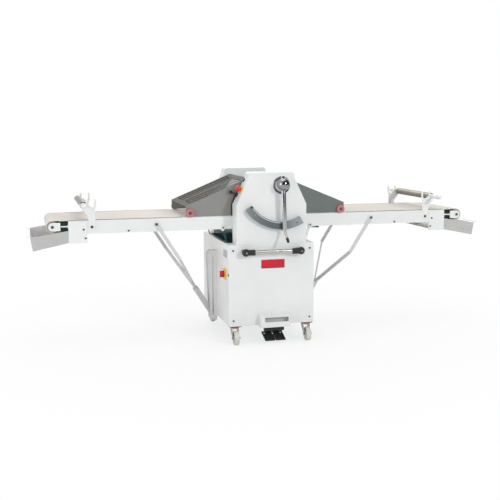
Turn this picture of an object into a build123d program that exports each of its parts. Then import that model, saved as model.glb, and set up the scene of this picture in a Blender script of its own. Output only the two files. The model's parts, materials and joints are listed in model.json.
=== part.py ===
"""Reversible dough sheeter: one STEP file for each separate piece.

Millimetres. X runs along the tables to the operator's right, Y to the back, Z up.
The origin is on the floor, under the middle of the overall box.
"""
import math
import os

from build123d import *

os.makedirs("parts", exist_ok=True)

# Clearances: between pieces that move past each other, and round a turning shaft
gap = 0.3
running = 0.06

# Cabinet
cabinet_width = 622
cabinet_depth = 860
cabinet_bottom = 132
cabinet_top = 710
sheet = 2
floor_plate = 4
post = 26
cross_tube = 30
panel_lip = 18
louvre_count = 7
louvre_length = 260
louvre_tall = 10
louvre_pitch = 26
pan_depth = 118
channel_half = 38
channel_low = 98
channel_high = 621
channel_reach = 68
channel_slot = 9
flank = 3

# Head
head_depth = 120
head_half_base = 254
head_half_neck = 166
head_half_top = 160
head_shoulder = 985
head_neck = 1170
head_cap = 40
head_corner_r = 22
head_bend_r = 110
side_plate = 12
plate_in = 56
plate_inset = 14

# Rolls and gap setting
roll_r = 42
roll_clear = 10
roll_shaft_r = 15
rest_gap = 14
block_half = 39
block_depth = 22
guide = 16
tie_bar = 26
tie_rise = 70
slot_wide = 42
slot_under = 33
slot_over = 35
lever_x = 68
lever_drop = 42
lever_tilt = 2
lever_length = 315
lever_width = 28
lever_thick = 8
hub_r = 45
hand_rod_r = 8
hand_rod_reach = 68
hand_rod_drop = 76
tooth_module = 3
tooth_count = 22
tooth_angle = 20
tooth_root = 3.75
rack_teeth = 8
rack_width = 14
gap_shaft_r = 14
disc_r = 63
disc_thick = 8
disc_drop = 8
scale_inner = 262
scale_outer = 315
scale_left = 56
scale_right = 29.5
scale_standoff = 35
scale_wall = 3
lever_clear = 20

# Controls
start_at = 0.91
start_in = 98
start_r = 11
stop_at = 0.55
stop_in = 53
stop_r = 20
stop_tall = 28
stick_at = 0.35
stick_in = 100
stick_length = 52
stick_pivot = 6
stick_r = 5
stick_pin_r = 3
stick_lug = 4
ball_r = 13
stem_r = 7
switch_in = 115
switch_z = 492
switch_side = 74
handle_z = 660
handle_half = 215
handle_reach = 50
handle_wide = 10
handle_tall = 16

# Pedals
hood_x = 12
hood_half = 108
hood_low = 122
hood_high = 214
hood_reach = 54
pedal_x = 20
pedal_in = 70
pedal_z = 58
pedal_width = 73
pedal_length = 96
pedal_fall = 36
pedal_pin_r = 5
pedal_bar_in = 18
pedal_bar_z = 94
pedal_bar = 24

# Casters
caster_in_x = 47
caster_in_y = 40
caster_plate = 4
caster_plate_x = 88
caster_plate_y = 70
caster_trail = 45
wheel_r = 50
wheel_width = 32
axle_r = 6
fork_plate = 3

# Tables
belt_top = 903.5
belt_thick = 2
belt_clear = 19
bed_thick = 1.5
rail_clear = 4
rail_thick = 3
rail_bottom = 810
rail_end = 1388
flange = 30
cross_count = 4
roller_z = 862
roller_pin_r = 8
drive_x = 105
end_x = 1492
end_plate = 2.5
end_plate_length = 126
end_plate_drop = 62
fold_out = 12
fold_rise = 12
fold_pin_r = 8
fold_pin_long = 17
arm_clear = 12.5
arm_thick = 5
takeup_half = 28
takeup_rod_r = 5
tray_length = 236
tray_drop = 58
tray_fall = 48
tray_rise = 91
tray_lip = 24
tray_lean = 14
tray_lip_rise = 8
pin_in = 104
pin_z = 1003
pin_r = 24
pin_clear = 16
pin_round = 8
pin_handle_r = 15
pin_waist = 12.5
pin_handle = 160
prong = 13
cradle_pitch = 58

# Struts
strut_x = 793
strut_z = 860
strut_pin_r = 6
strut_bar = 24
strut_thick = 6
strut_bend_x = 636
strut_bend_z = 612
strut_join_x = 470
strut_join_z = 348
strut_gap = 1.5
strut_leg = 40
foot_out = 34
foot_z = 150
foot_r = 13

# Guards
guard_in = 26
guard_drop = 30
guard_tube_r = 12
guard_pin_r = 8
guard_tip_x = 584
guard_tip_z = 976
guard_heel_x = 252
guard_clear = 12.5
guard_plate = 3
guard_roller_x = 556
guard_roller_r = 29
guard_roller_width = 16
guard_axle_r = 6
slot_count = 22
slot_pitch = 19
slot_width = 13
slot_border = 42

# Sizes that follow from the ones above
half_w = cabinet_width / 2
half_d = cabinet_depth / 2
lid_under = cabinet_top - sheet
floor_top = cabinet_bottom + floor_plate
tube_x = half_w - sheet - cross_tube / 2
post_x = half_w - sheet - post / 2
post_y = half_d - sheet - post / 2
head_in = half_d - head_depth
head_top = head_neck + head_cap
head_face = head_neck - head_shoulder
side_plate_y = head_in + plate_in
roll_half = head_in - roll_clear
belt_half = head_in - belt_clear
rail_outer = head_in - rail_clear
arm_y = head_in - arm_clear
guard_plate_y = head_in - guard_clear
guard_x = head_half_neck - guard_in
guard_z = head_neck - guard_drop
lever_z = head_neck - lever_drop
start_z = head_shoulder + start_at * head_face
stop_z = head_shoulder + stop_at * head_face
stick_z = head_shoulder + stick_at * head_face
start_y = half_d - start_in
stop_y = half_d - stop_in
stick_y = half_d - stick_in
switch_y = half_d - switch_in
pedal_y = half_d - pedal_in
pedal_bar_y = half_d - pedal_bar_in
caster_x = half_w - caster_in_x
caster_y = half_d - caster_in_y
fold_x = half_w + fold_out
fold_z = rail_bottom + fold_rise
foot_x = half_w + foot_out
tray_floor = rail_bottom - tray_drop
pin_x = rail_end - pin_in
pin_half = rail_outer - pin_clear
pin_handle_end = pin_half + pin_handle
pin_straight = rail_outer + 4 * rail_thick
pan_half_x = tube_x - cross_tube / 2 - sheet
pan_half_y = head_in - sheet
pan_floor = lid_under - pan_depth
rail_top = belt_top - belt_thick - bed_thick
belt_outer = belt_top - roller_z
belt_inner = belt_outer - belt_thick
roller_r = belt_inner - gap
lower_roll_z = belt_top - roll_r
upper_roll_z = belt_top + rest_gap + roll_r
block_y = side_plate_y + side_plate / 2 + gap + block_depth / 2
pinion_r = tooth_module * tooth_count / 2
tooth_pitch = math.pi * tooth_module
rack_line = lever_x - pinion_r
rack_face = rack_line - tooth_root
tie_z = upper_roll_z + tie_rise
slot_low = upper_roll_z - slot_under
slot_high = tie_z + tie_bar / 2 + slot_over
guard_roller_z = rail_top + gap + guard_roller_r
face_slope = (head_half_base - head_half_neck) / head_face
face_tilt = math.atan(face_slope)
scale_face = half_d + scale_standoff
lever_y = scale_face + lever_clear
middle_y = (lever_y + hand_rod_reach - pin_handle_end) / 2


def save(part, name):
    """Move a finished part to the origin of the whole, label it and write its STEP file."""
    placed = part.moved(Location((0, middle_y, 0)))
    placed.label = name
    export_step(placed, f"parts/{name}.step")


def head_outline(inset, foot):
    """Draw the head's bell outline in the open sketch, moved in by inset."""
    made = Polygon(
        (-head_half_base, foot - inset),
        (-head_half_base, head_shoulder),
        (-head_half_neck, head_neck),
        (-head_half_top, head_top),
        (head_half_top, head_top),
        (head_half_neck, head_neck),
        (head_half_base, head_shoulder),
        (head_half_base, foot - inset),
        align=None,
    )
    levels = made.vertices().group_by(Axis.Y)
    fillet(levels[-1], radius=head_corner_r)
    fillet(levels[1], radius=head_bend_r)
    if inset:
        offset(amount=-inset)


def face_plane(height, depth_y):
    """Plane on the left slanted head face, its normal pointing out of the head."""
    normal = (-math.cos(face_tilt), 0, math.sin(face_tilt))
    face_x = (height - head_shoulder) * face_slope - head_half_base
    return Plane(origin=(face_x, -depth_y, height), x_dir=(0, 1, 0), z_dir=normal)


def bar(start, end, width, thick, across):
    """Add a flat bar between two points, its width along across."""
    run = Vector(*end) - Vector(*start)
    middle = (Vector(*end) + Vector(*start)) * 0.5
    plane = Plane(origin=middle, x_dir=across, z_dir=run.normalized())
    with Locations(plane.location):
        Box(width, thick, run.length)


# Base frame: floor plate, posts, cross tubes, caster plates and the arms of the table hinges
tube_tall = 34
arm_boss = 13
arm_foot = 12
arm_edge = 2
arm_neck = 6
with BuildPart() as base_frame:
    with Locations((0, 0, cabinet_bottom + floor_plate / 2)):
        Box(cabinet_width - 2 * sheet, cabinet_depth - 2 * sheet, floor_plate)
    with GridLocations(2 * post_x, 2 * post_y, 2, 2):
        with Locations((0, 0, (floor_top + lid_under) / 2)):
            Box(post, post, lid_under - floor_top)
    with Locations((-tube_x, 0, lid_under - tube_tall / 2), (tube_x, 0, lid_under - tube_tall / 2)):
        Box(cross_tube, 2 * post_y, tube_tall)
    for side in (-1, 1):
        for front in (-1, 1):
            with BuildSketch(Plane.XZ.offset(front * arm_y)):
                Polygon(
                    (side * (tube_x - arm_foot), lid_under - tube_tall),
                    (side * (tube_x + arm_edge), lid_under - tube_tall),
                    (side * (tube_x + arm_edge), cabinet_top + arm_neck),
                    (side * (fold_x + arm_boss), fold_z),
                    (side * (fold_x - arm_boss), fold_z),
                    align=None,
                )
                with Locations((side * fold_x, fold_z)):
                    Circle(arm_boss)
                    Circle(fold_pin_r + running, mode=Mode.SUBTRACT)
            extrude(amount=arm_thick / 2, both=True)
    with GridLocations(2 * caster_x, 2 * caster_y, 2, 2):
        with Locations((0, 0, cabinet_bottom - caster_plate / 2)):
            Box(caster_plate_x, caster_plate_y, caster_plate)
            Cylinder(axle_r + running, caster_plate, mode=Mode.SUBTRACT)
save(base_frame.part, "base_frame")

# Front and rear cabinet panels, bent round the corners
panel_height = lid_under - cabinet_bottom
panel_edge = 1.5
for name, side in (("front_panel", -1), ("rear_panel", 1)):
    with BuildPart() as panel:
        with BuildSketch(Plane.XY.offset(cabinet_bottom)):
            with Locations((0, side * (half_d - panel_lip / 2))):
                Rectangle(cabinet_width, panel_lip)
            with Locations((0, side * (half_d - panel_lip / 2 - sheet))):
                Rectangle(cabinet_width - 2 * sheet, panel_lip, mode=Mode.SUBTRACT)
        extrude(amount=panel_height)
        fillet(panel.edges().filter_by(Axis.Z).group_by(Axis.Y)[0 if side < 0 else -1], radius=panel_edge)
        if side > 0:
            with BuildSketch(Plane.XZ.offset(-half_d)):
                with Locations((0, cabinet_bottom + panel_height / 2)):
                    with GridLocations(louvre_length, louvre_pitch, 1, louvre_count):
                        SlotOverall(louvre_length, louvre_tall)
            extrude(amount=sheet, both=True, mode=Mode.SUBTRACT)
    save(panel.part, name)

# Side panels, each with the U-shaped guide of the table strut welded on
channel_mid = (channel_low + channel_high) / 2
channel_slot_in = 4
channel_slot_short = 77
channel_slot_x = foot_x - channel_slot_in
channel_slot_long = channel_high - channel_low - channel_slot_short
channel_foot_in = 18
channel_foot_rise = 8
channel_top_in = 16
channel_top_fall = 25
for name, side in (("left_panel", -1), ("right_panel", 1)):
    with BuildPart() as panel:
        with Locations((side * (half_w - sheet / 2), 0, cabinet_bottom + panel_height / 2)):
            Box(sheet, cabinet_depth - 2 * panel_lip, panel_height)
        with Locations((side * (half_w + sheet / 2), 0, channel_mid)):
            Box(sheet, 2 * channel_half, channel_high - channel_low)
        for front in (-1, 1):
            with BuildSketch(Plane.XZ.offset(front * (channel_half - flank / 2))):
                Polygon(
                    (side * half_w, channel_low),
                    (side * (half_w + channel_reach - channel_foot_in), channel_low + channel_foot_rise),
                    (side * (half_w + channel_reach), channel_high - channel_top_fall),
                    (side * (half_w + channel_reach - channel_top_in), channel_high),
                    (side * half_w, channel_high),
                    align=None,
                )
                with Locations((side * channel_slot_x, channel_mid)):
                    SlotOverall(channel_slot_long, channel_slot, rotation=90, mode=Mode.SUBTRACT)
            extrude(amount=flank / 2, both=True)
    save(panel.part, name)

# Cabinet top with its opening, and the dark pan that hangs in it
lid_rim = 13
lid_corner = 4
plate_room = 6
plate_slot = 2 * (head_half_base - plate_inset) + plate_room
pan_corner = 8
with BuildPart() as cabinet_lid:
    with BuildSketch(Plane.XY.offset(lid_under)):
        RectangleRounded(cabinet_width, cabinet_depth, lid_corner)
        Rectangle(cabinet_width - 2 * lid_rim, 2 * pan_half_y, mode=Mode.SUBTRACT)
        with Locations((0, -side_plate_y), (0, side_plate_y)):
            Rectangle(plate_slot, side_plate + plate_room, mode=Mode.SUBTRACT)
    extrude(amount=sheet)
save(cabinet_lid.part, "cabinet_lid")

with BuildPart() as crumb_pan:
    with Locations((0, 0, (pan_floor + lid_under) / 2)):
        Box(2 * pan_half_x, 2 * pan_half_y + 2 * sheet, pan_depth)
    fillet(crumb_pan.edges().filter_by(Axis.Z), radius=pan_corner)
    offset(amount=-sheet, openings=crumb_pan.faces().sort_by(Axis.Z)[-1])
save(crumb_pan.part, "crumb_pan")

# Head frame: two thick side plates on the floor plate, tied by round bars
tie_bar_r = 14
tie_bar_places = ((-190, 250), (190, 250), (0, 520))
guide_tall = 150
guide_rise = 20
guide_y = side_plate_y + side_plate / 2 + guide / 2
with BuildPart() as head_frame:
    for side in (-1, 1):
        with BuildSketch(Plane.XZ.offset(side * side_plate_y)):
            head_outline(plate_inset, floor_top)
            with Locations((0, lower_roll_z)):
                Circle(roll_shaft_r + running, mode=Mode.SUBTRACT)
            with Locations((0, (slot_low + slot_high) / 2)):
                Rectangle(slot_wide, slot_high - slot_low, mode=Mode.SUBTRACT)
            with Locations((lever_x, lever_z)):
                Circle(gap_shaft_r + running, mode=Mode.SUBTRACT)
            with Locations((-guard_x, guard_z), (guard_x, guard_z)):
                Circle(guard_pin_r + running, mode=Mode.SUBTRACT)
        extrude(amount=side_plate / 2, both=True)
        for edge in (-1, 1):
            guide_x = edge * (block_half + gap + guide / 2)
            with Locations((guide_x, side * guide_y, upper_roll_z + guide_rise)):
                Box(guide, guide, guide_tall)
    for x, z in tie_bar_places:
        with Locations((x, 0, z)):
            Cylinder(tie_bar_r, 2 * side_plate_y, rotation=(90, 0, 0))
save(head_frame.part, "head_frame")

# Head housings: bent sheet shells round the side plates, the front one drilled for the controls
hole_room = 1
for name, side in (("front_housing", -1), ("rear_housing", 1)):
    outer_y = side * half_d
    with BuildPart() as housing:
        with BuildSketch(Plane.XZ.offset(-outer_y)):
            head_outline(0, cabinet_top)
        extrude(amount=side * head_depth)
        outer_face = housing.faces().sort_by(Axis.Y)[0 if side < 0 else -1]
        fillet(outer_face.edges().sort_by(Axis.Z)[1:], radius=2 * sheet)
        with BuildSketch(Plane.XZ.offset(side * sheet - outer_y)):
            head_outline(sheet, cabinet_top - sheet)
        extrude(amount=side * (head_depth - 2 * sheet), mode=Mode.SUBTRACT)
        with BuildSketch(Plane.XZ.offset(-side * head_in)):
            with Locations((0, lower_roll_z)):
                Circle(roll_shaft_r + 2 * hole_room)
            with Locations((0, (slot_low + slot_high) / 2)):
                Rectangle(slot_wide + 2 * hole_room, slot_high - slot_low + 2 * hole_room)
            with Locations((lever_x, lever_z)):
                Circle(gap_shaft_r + hole_room)
            with Locations((-guard_x, guard_z), (guard_x, guard_z)):
                Circle(guard_pin_r + hole_room)
        extrude(amount=2 * sheet, both=True, mode=Mode.SUBTRACT)
        if side < 0:
            with BuildSketch(Plane.XZ.offset(half_d)):
                with Locations((lever_x, lever_z - disc_drop)):
                    Circle(disc_r)
            extrude(amount=disc_thick)
            with Locations((lever_x, outer_y, lever_z)):
                Cylinder(gap_shaft_r + hole_room, 2 * hub_r, rotation=(90, 0, 0), mode=Mode.SUBTRACT)
            for height, depth in ((start_z, start_y), (stop_z, stop_y), (stick_z, stick_y)):
                with BuildSketch(face_plane(height, depth)):
                    Circle(stem_r + gap)
                extrude(amount=2 * sheet, both=True, mode=Mode.SUBTRACT)
            with BuildSketch(face_plane(stick_z, stick_y).offset(-sheet / 2)):
                with Locations((stick_lug / 2 - ball_r, 0), (ball_r - stick_lug / 2, 0)):
                    Rectangle(stick_lug, 4 * stick_pin_r)
            extrude(amount=-2 * stick_pivot)
            with Locations(face_plane(stick_z, stick_y).offset(-stick_pivot).location):
                Cylinder(stick_pin_r + running, 2 * ball_r, rotation=(0, 90, 0), mode=Mode.SUBTRACT)
    save(housing.part, name)

# Geared drive motor, bolted to the floor plate on two feet
motor_r = 78
motor_length = 250
motor_rise = 194
gearbox_length = 110
gearbox_tall = 190
output_r = 45
output_length = 30
output_shaft_r = 20
output_taper = 8
motor_foot = 30
motor_z = floor_top + motor_rise
gearbox_front = gearbox_length + output_length
with BuildPart() as drive_motor:
    with BuildSketch(Plane.XZ):
        with Locations((0, motor_z)):
            Circle(motor_r)
    extrude(amount=-motor_length)
    fillet(drive_motor.faces().sort_by(Axis.Y)[-1].edges(), radius=motor_r / 5)
    with Locations((0, -gearbox_length / 2, motor_z)):
        Box(2 * motor_r + output_length, gearbox_length, gearbox_tall)
    with BuildSketch(Plane.XZ.offset(gearbox_length)):
        with Locations((0, motor_z + output_shaft_r)):
            Circle(output_r)
    extrude(amount=output_length, taper=output_taper)
    with BuildSketch(Plane.XZ.offset(gearbox_front)):
        with Locations((0, motor_z + output_shaft_r)):
            Circle(output_shaft_r)
    extrude(amount=output_length)
    with Locations((-motor_r + motor_foot / 2, 0, floor_top), (motor_r - motor_foot / 2, 0, floor_top)):
        Box(motor_foot, 2 * gearbox_length, motor_rise, align=(Align.CENTER, Align.CENTER, Align.MIN))
save(drive_motor.part, "drive_motor")

# Rolls: each a hard chromed roll with its stub shafts
roll_edge = 2
shaft_over = 2
roll_shaft_half = side_plate_y + side_plate / 2 + gap + block_depth + shaft_over
for name, height in (("lower_roll", lower_roll_z), ("upper_roll", upper_roll_z)):
    with BuildPart() as roll:
        with Locations((0, 0, height)):
            Cylinder(roll_r, 2 * roll_half, rotation=(90, 0, 0))
        chamfer(roll.edges().filter_by(GeomType.CIRCLE), length=roll_edge)
        with Locations((0, 0, height)):
            Cylinder(roll_shaft_r, 2 * roll_shaft_half, rotation=(90, 0, 0))
    save(roll.part, name)

# Carriage of the upper roll: two bearing blocks with their racks, and the tie bar with the scrapers
block_tall = 120
block_rise = 25
scraper = 36
scraper_thick = 3
scraper_tuck = 5
scraper_drop = 9
scraper_short = 20
rack_low = tie_z - tie_bar / 2
rack_top = lever_z + pinion_r + tooth_module
flank_lean = math.tan(math.radians(tooth_angle))
rack_tooth_half = tooth_pitch / 4 - gap
rack_tooth_tip = rack_tooth_half - tooth_module * flank_lean
rack_tooth_foot = rack_tooth_half + tooth_root * flank_lean
with BuildPart() as roll_carriage:
    for side in (-1, 1):
        with Locations((0, side * block_y, upper_roll_z + block_rise)):
            Box(2 * block_half, block_depth, block_tall)
        with Locations((rack_face - rack_width / 2, side * block_y, (rack_low + rack_top) / 2)):
            Box(rack_width, block_depth, rack_top - rack_low)
        with BuildSketch(Plane.XZ.offset(-side * block_y)):
            with Locations((rack_line, lever_z)):
                with GridLocations(tooth_pitch, tooth_pitch, 1, rack_teeth):
                    Polygon(
                        (-tooth_root, -rack_tooth_foot),
                        (tooth_module, -rack_tooth_tip),
                        (tooth_module, rack_tooth_tip),
                        (-tooth_root, rack_tooth_foot),
                        align=None,
                    )
        extrude(amount=block_depth / 2, both=True)
        with Locations((0, side * block_y, upper_roll_z)):
            Cylinder(roll_shaft_r + running, 2 * block_depth, rotation=(90, 0, 0), mode=Mode.SUBTRACT)
    with Locations((0, 0, tie_z)):
        Box(tie_bar, 2 * block_y, tie_bar)
    for side in (-1, 1):
        with Locations((side * ((tie_bar + scraper) / 2 - scraper_tuck), 0, tie_z - scraper_drop)):
            Box(scraper, 2 * roll_half - scraper_short, scraper_thick)
save(roll_carriage.part, "roll_carriage")

# Gap lever, welded up: ball hub, flat arm, bent hand rod, and the shaft with its two pinions
hub_back = half_d + disc_thick + gap
hub_stand = 38
hub_mid = hub_back + hub_stand
hub_neck_r = 35
hub_ball_out = 8
rod_overlap = 20
rod_bend = 14
rod_lean = 1
arm_end_x = lever_x + lever_length * math.tan(math.radians(lever_tilt))
arm_end_z = lever_z - lever_length
pinion_short = 4
pinion_width = block_depth - pinion_short
base_circle = pinion_r * math.cos(math.radians(tooth_angle))
flank_top = pinion_r + tooth_module
flank_steps = 6


def involute(radius):
    """Angle of the involute that starts at the base circle, where it reaches a radius."""
    roll = math.sqrt((radius / base_circle) ** 2 - 1)
    return roll - math.atan(roll)


half_tooth = math.pi / (2 * tooth_count) + involute(pinion_r)
flank_points = [Vector(pinion_r - tooth_root - gap, 0).rotate(Axis.Z, math.degrees(half_tooth))]
for step in range(flank_steps + 1):
    flank_r = base_circle + (flank_top - base_circle) * step / flank_steps
    flank_points.append(Vector(flank_r, 0).rotate(Axis.Z, math.degrees(half_tooth - involute(flank_r))))
with BuildSketch() as pinion_tooth:
    with BuildLine():
        Line(flank_points[0], flank_points[1])
        Spline(flank_points[1:])
        mirror(about=Plane.XZ)
        Line(flank_points[-1], Vector(flank_points[-1].X, -flank_points[-1].Y))
        Line(flank_points[0], Vector(flank_points[0].X, -flank_points[0].Y))
    make_face()
with BuildPart() as gap_lever:
    with BuildSketch(Plane.XZ.offset(hub_back)):
        with Locations((lever_x, lever_z)):
            Circle(hub_neck_r)
    extrude(amount=hub_mid - hub_back)
    with Locations((lever_x, -hub_mid - hub_ball_out, lever_z)):
        Sphere(hub_r)
    split(bisect_by=Plane.XZ.offset(hub_back), keep=Keep.TOP)
    bar((lever_x, -lever_y, lever_z), (arm_end_x, -lever_y, arm_end_z), lever_width, lever_thick, (1, 0, 0))
    with BuildLine():
        hand_rod = Polyline(
            (arm_end_x, -lever_y, arm_end_z + rod_overlap),
            (arm_end_x + rod_lean, -lever_y, arm_end_z - rod_bend),
            (arm_end_x + 3 * rod_lean, -lever_y - hand_rod_reach, arm_end_z - hand_rod_drop),
        )
    with BuildSketch(Plane(origin=hand_rod @ 0, z_dir=hand_rod % 0)):
        Circle(hand_rod_r)
    sweep(transition=Transition.ROUND)
    with BuildSketch(Plane.XZ.offset(hub_mid)):
        with Locations((lever_x, lever_z)):
            Circle(gap_shaft_r)
    extrude(amount=-hub_mid - block_y - block_depth / 2)
    for side in (-1, 1):
        with BuildSketch(Plane.XZ.offset(-side * block_y)):
            with Locations((lever_x, lever_z)):
                Circle(pinion_r - tooth_root)
                with PolarLocations(0, tooth_count):
                    add(pinion_tooth.sketch)
        extrude(amount=pinion_width / 2, both=True)
save(gap_lever.part, "gap_lever")

# Scale arc in front of the head, a shallow tray open to the back
with BuildPart() as scale_arc:
    for wall, cut in ((0, Mode.ADD), (scale_wall, Mode.SUBTRACT)):
        with BuildSketch(Plane.XZ.offset(half_d)):
            with BuildLine():
                wall_angle = math.degrees(wall / scale_outer)
                first = 270 - scale_left + wall_angle
                swing = scale_left + scale_right - 2 * wall_angle
                inner = CenterArc((lever_x, lever_z), scale_inner + wall, first, swing)
                outer = CenterArc((lever_x, lever_z), scale_outer - wall, first, swing)
                Line(inner @ 0, outer @ 0)
                Line(inner @ 1, outer @ 1)
            make_face()
        extrude(amount=scale_standoff - wall, mode=cut)
save(scale_arc.part, "scale_arc")

# Push handle across the front: an oval tube in two moulded end brackets
grip = 86
grip_over = 6
grip_wall = 4
foot_wide = 44
foot_over = 2
foot_corner = 6
handle_y = -half_d - handle_reach
with BuildPart() as handle_tube:
    with BuildSketch(Plane.YZ):
        with Locations((handle_y, handle_z)):
            Ellipse(handle_wide, handle_tall)
            Ellipse(handle_wide - sheet, handle_tall - sheet, mode=Mode.SUBTRACT)
    extrude(amount=handle_half, both=True)
save(handle_tube.part, "handle_tube")

with BuildPart() as handle_brackets:
    for side in (-1, 1):
        with BuildSketch(Plane.YZ.offset(side * (handle_half + grip_over - grip / 2))):
            with Locations((handle_y, handle_z)):
                RectangleRounded(2 * (handle_wide + grip_wall), 2 * (handle_tall + grip_wall), handle_wide)
        extrude(amount=grip / 2, both=True)
        fillet(handle_brackets.faces().sort_by(Axis.X)[0 if side < 0 else -1].edges(), radius=handle_wide)
        with BuildSketch(Plane.XZ.offset(half_d)):
            with Locations((side * (handle_half + foot_over - foot_wide / 2), handle_z)):
                RectangleRounded(foot_wide, 2 * handle_tall, foot_corner)
        extrude(amount=handle_reach)
    with BuildSketch(Plane.YZ):
        with Locations((handle_y, handle_z)):
            Ellipse(handle_wide + running, handle_tall + running)
    extrude(amount=handle_half, both=True, mode=Mode.SUBTRACT)
save(handle_brackets.part, "handle_brackets")

# Start button, emergency stop with its collar, and travel joystick, on stems through the head face
start_plane = face_plane(start_z, start_y)
stop_plane = face_plane(stop_z, stop_y)
stick_plane = face_plane(stick_z, stick_y)
stem_in = 7
stick_root = stick_pivot + 2 * stick_pin_r
start_lift = 4
start_edge = 2
collar = 6
collar_over = 7
stop_lift = 14
with BuildPart() as start_button:
    with BuildSketch(start_plane.offset(-stem_in)):
        Circle(stem_r)
    extrude(amount=stem_in + start_lift)
    with BuildSketch(start_plane.offset(start_lift)):
        Circle(start_r)
    extrude(amount=stem_in)
    fillet(start_button.faces().sort_by(Axis.X)[0].edges(), radius=start_edge)
save(start_button.part, "start_button")

with BuildPart() as stop_collar:
    with BuildSketch(stop_plane):
        Circle(stop_r + collar_over)
        Circle(stem_r + gap, mode=Mode.SUBTRACT)
    extrude(amount=collar)
save(stop_collar.part, "stop_collar")

with BuildPart() as stop_button:
    with BuildSketch(stop_plane.offset(-stem_in)):
        Circle(stem_r)
    extrude(amount=stem_in + stop_lift)
    with BuildSketch(stop_plane.offset(stop_lift)):
        Circle(stop_r)
    extrude(amount=stop_tall)
    fillet(stop_button.faces().sort_by(Axis.X)[0].edges(), radius=stop_tall / 3)
save(stop_button.part, "stop_button")

with BuildPart() as joystick:
    with BuildSketch(stick_plane.offset(-stick_root)):
        Circle(stick_r)
    extrude(amount=stick_root + stick_length)
    with Locations(stick_plane.offset(stick_length).location):
        Sphere(ball_r)
    with Locations(stick_plane.offset(-stick_pivot).location):
        Cylinder(stick_pin_r, 2 * ball_r, rotation=(0, 90, 0))
save(joystick.part, "joystick")

# Main switch on the left panel
switch_thick = 10
switch_corner = 6
switch_edge = 1.5
knob_thick = 7
knob_grip = 0.62 * switch_side
knob_grip_tall = 29
knob_grip_corner = 3
with BuildPart() as switch_plate:
    with BuildSketch(Plane.YZ.offset(-half_w)):
        with Locations((-switch_y, switch_z)):
            RectangleRounded(switch_side, switch_side, switch_corner)
    extrude(amount=-switch_thick)
    fillet(switch_plate.faces().sort_by(Axis.X)[0].edges(), radius=switch_edge)
save(switch_plate.part, "switch_plate")

with BuildPart() as switch_knob:
    with BuildSketch(Plane.YZ.offset(-half_w - switch_thick - gap)):
        with Locations((-switch_y, switch_z)):
            Circle(switch_side / 3)
    extrude(amount=-knob_thick)
    with BuildSketch(Plane.YZ.offset(-half_w - switch_thick - gap)):
        with Locations((-switch_y, switch_z)):
            RectangleRounded(switch_side / 5, knob_grip, knob_grip_corner)
    extrude(amount=-knob_grip_tall)
save(switch_knob.part, "switch_knob")

# Hood over the pedal opening
hood_brow = 18
hood_brow_in = 10
window_x = 12
window_rise = 7
window_wide = 1.6 * hood_half
window_tall = 32
with BuildPart() as pedal_hood:
    with BuildSketch(Plane.YZ.offset(hood_x)):
        Polygon(
            (-half_d, hood_high),
            (-half_d - hood_reach + hood_brow_in, hood_high - hood_brow),
            (-half_d - hood_reach, hood_low),
            (-half_d, hood_low),
            align=None,
        )
    extrude(amount=hood_half, both=True)
    offset(amount=-sheet, openings=pedal_hood.faces().sort_by(Axis.Y)[-1])
    with Locations((hood_x + window_x, -half_d - hood_reach, (hood_low + hood_high) / 2 + window_rise)):
        Box(window_wide, hood_reach, window_tall, mode=Mode.SUBTRACT)
save(pedal_hood.part, "pedal_hood")

# Bar under the cabinet that carries the pedals
bracket_pitch = 60
bracket_x = (pedal_x - bracket_pitch, pedal_x, pedal_x + bracket_pitch)
bracket_wide = 10
bracket_thick = 12
bracket_edge = 5
stand_half = 54
stand_wide = 20
stand_slim = 6
pedal_pin_over = 4
with BuildPart() as pedal_bracket:
    with Locations((pedal_x, -pedal_bar_y, pedal_bar_z)):
        Box(2 * pedal_width, pedal_bar, pedal_bar)
    fillet(pedal_bracket.edges().filter_by(Axis.X), radius=bracket_edge)
    stand_z = (pedal_bar_z + cabinet_bottom) / 2
    for stand_x in (pedal_x - stand_half, pedal_x + stand_half):
        with Locations((stand_x, -pedal_bar_y, stand_z)):
            Box(stand_wide, pedal_bar - stand_slim, cabinet_bottom - pedal_bar_z)
    for x in bracket_x:
        bar((x, -pedal_bar_y, pedal_bar_z), (x, -pedal_y, pedal_z), bracket_wide, bracket_thick, (1, 0, 0))
    with Locations((pedal_x, -pedal_y, pedal_z)):
        Cylinder(pedal_pin_r, 2 * (pedal_width + pedal_pin_over), rotation=(0, 90, 0))
save(pedal_bracket.part, "pedal_bracket")

pedal_gap = 2
pedal_heel = 4
pedal_heel_under = 9
pedal_heel_over = 3
pedal_tip_under = 4
pedal_tip_over = 5
notch_wide = 14
notch_tall = 44
for name, side in (("left_pedal", -1), ("right_pedal", 1)):
    middle_x = pedal_x + side * (pedal_width / 2 + pedal_gap)
    with BuildPart() as pedal:
        with BuildSketch(Plane.YZ.offset(middle_x)):
            Polygon(
                (-pedal_y - pedal_heel, pedal_z - pedal_heel_under),
                (-pedal_y - pedal_heel, pedal_z + pedal_heel_over),
                (-pedal_y - pedal_length, pedal_z - pedal_fall + pedal_tip_over),
                (-pedal_y - pedal_length, pedal_z - pedal_fall - pedal_tip_under),
                align=None,
            )
            with Locations((-pedal_y, pedal_z)):
                Circle(2 * pedal_pin_r)
        extrude(amount=pedal_width / 2, both=True)
        with Locations((middle_x, -pedal_y, pedal_z)):
            Cylinder(pedal_pin_r + running, pedal_width, rotation=(0, 90, 0), mode=Mode.SUBTRACT)
        for x in bracket_x:
            with Locations((x, -pedal_y, pedal_z)):
                Box(notch_wide, notch_tall, notch_tall, mode=Mode.SUBTRACT)
    save(pedal.part, name)

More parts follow.
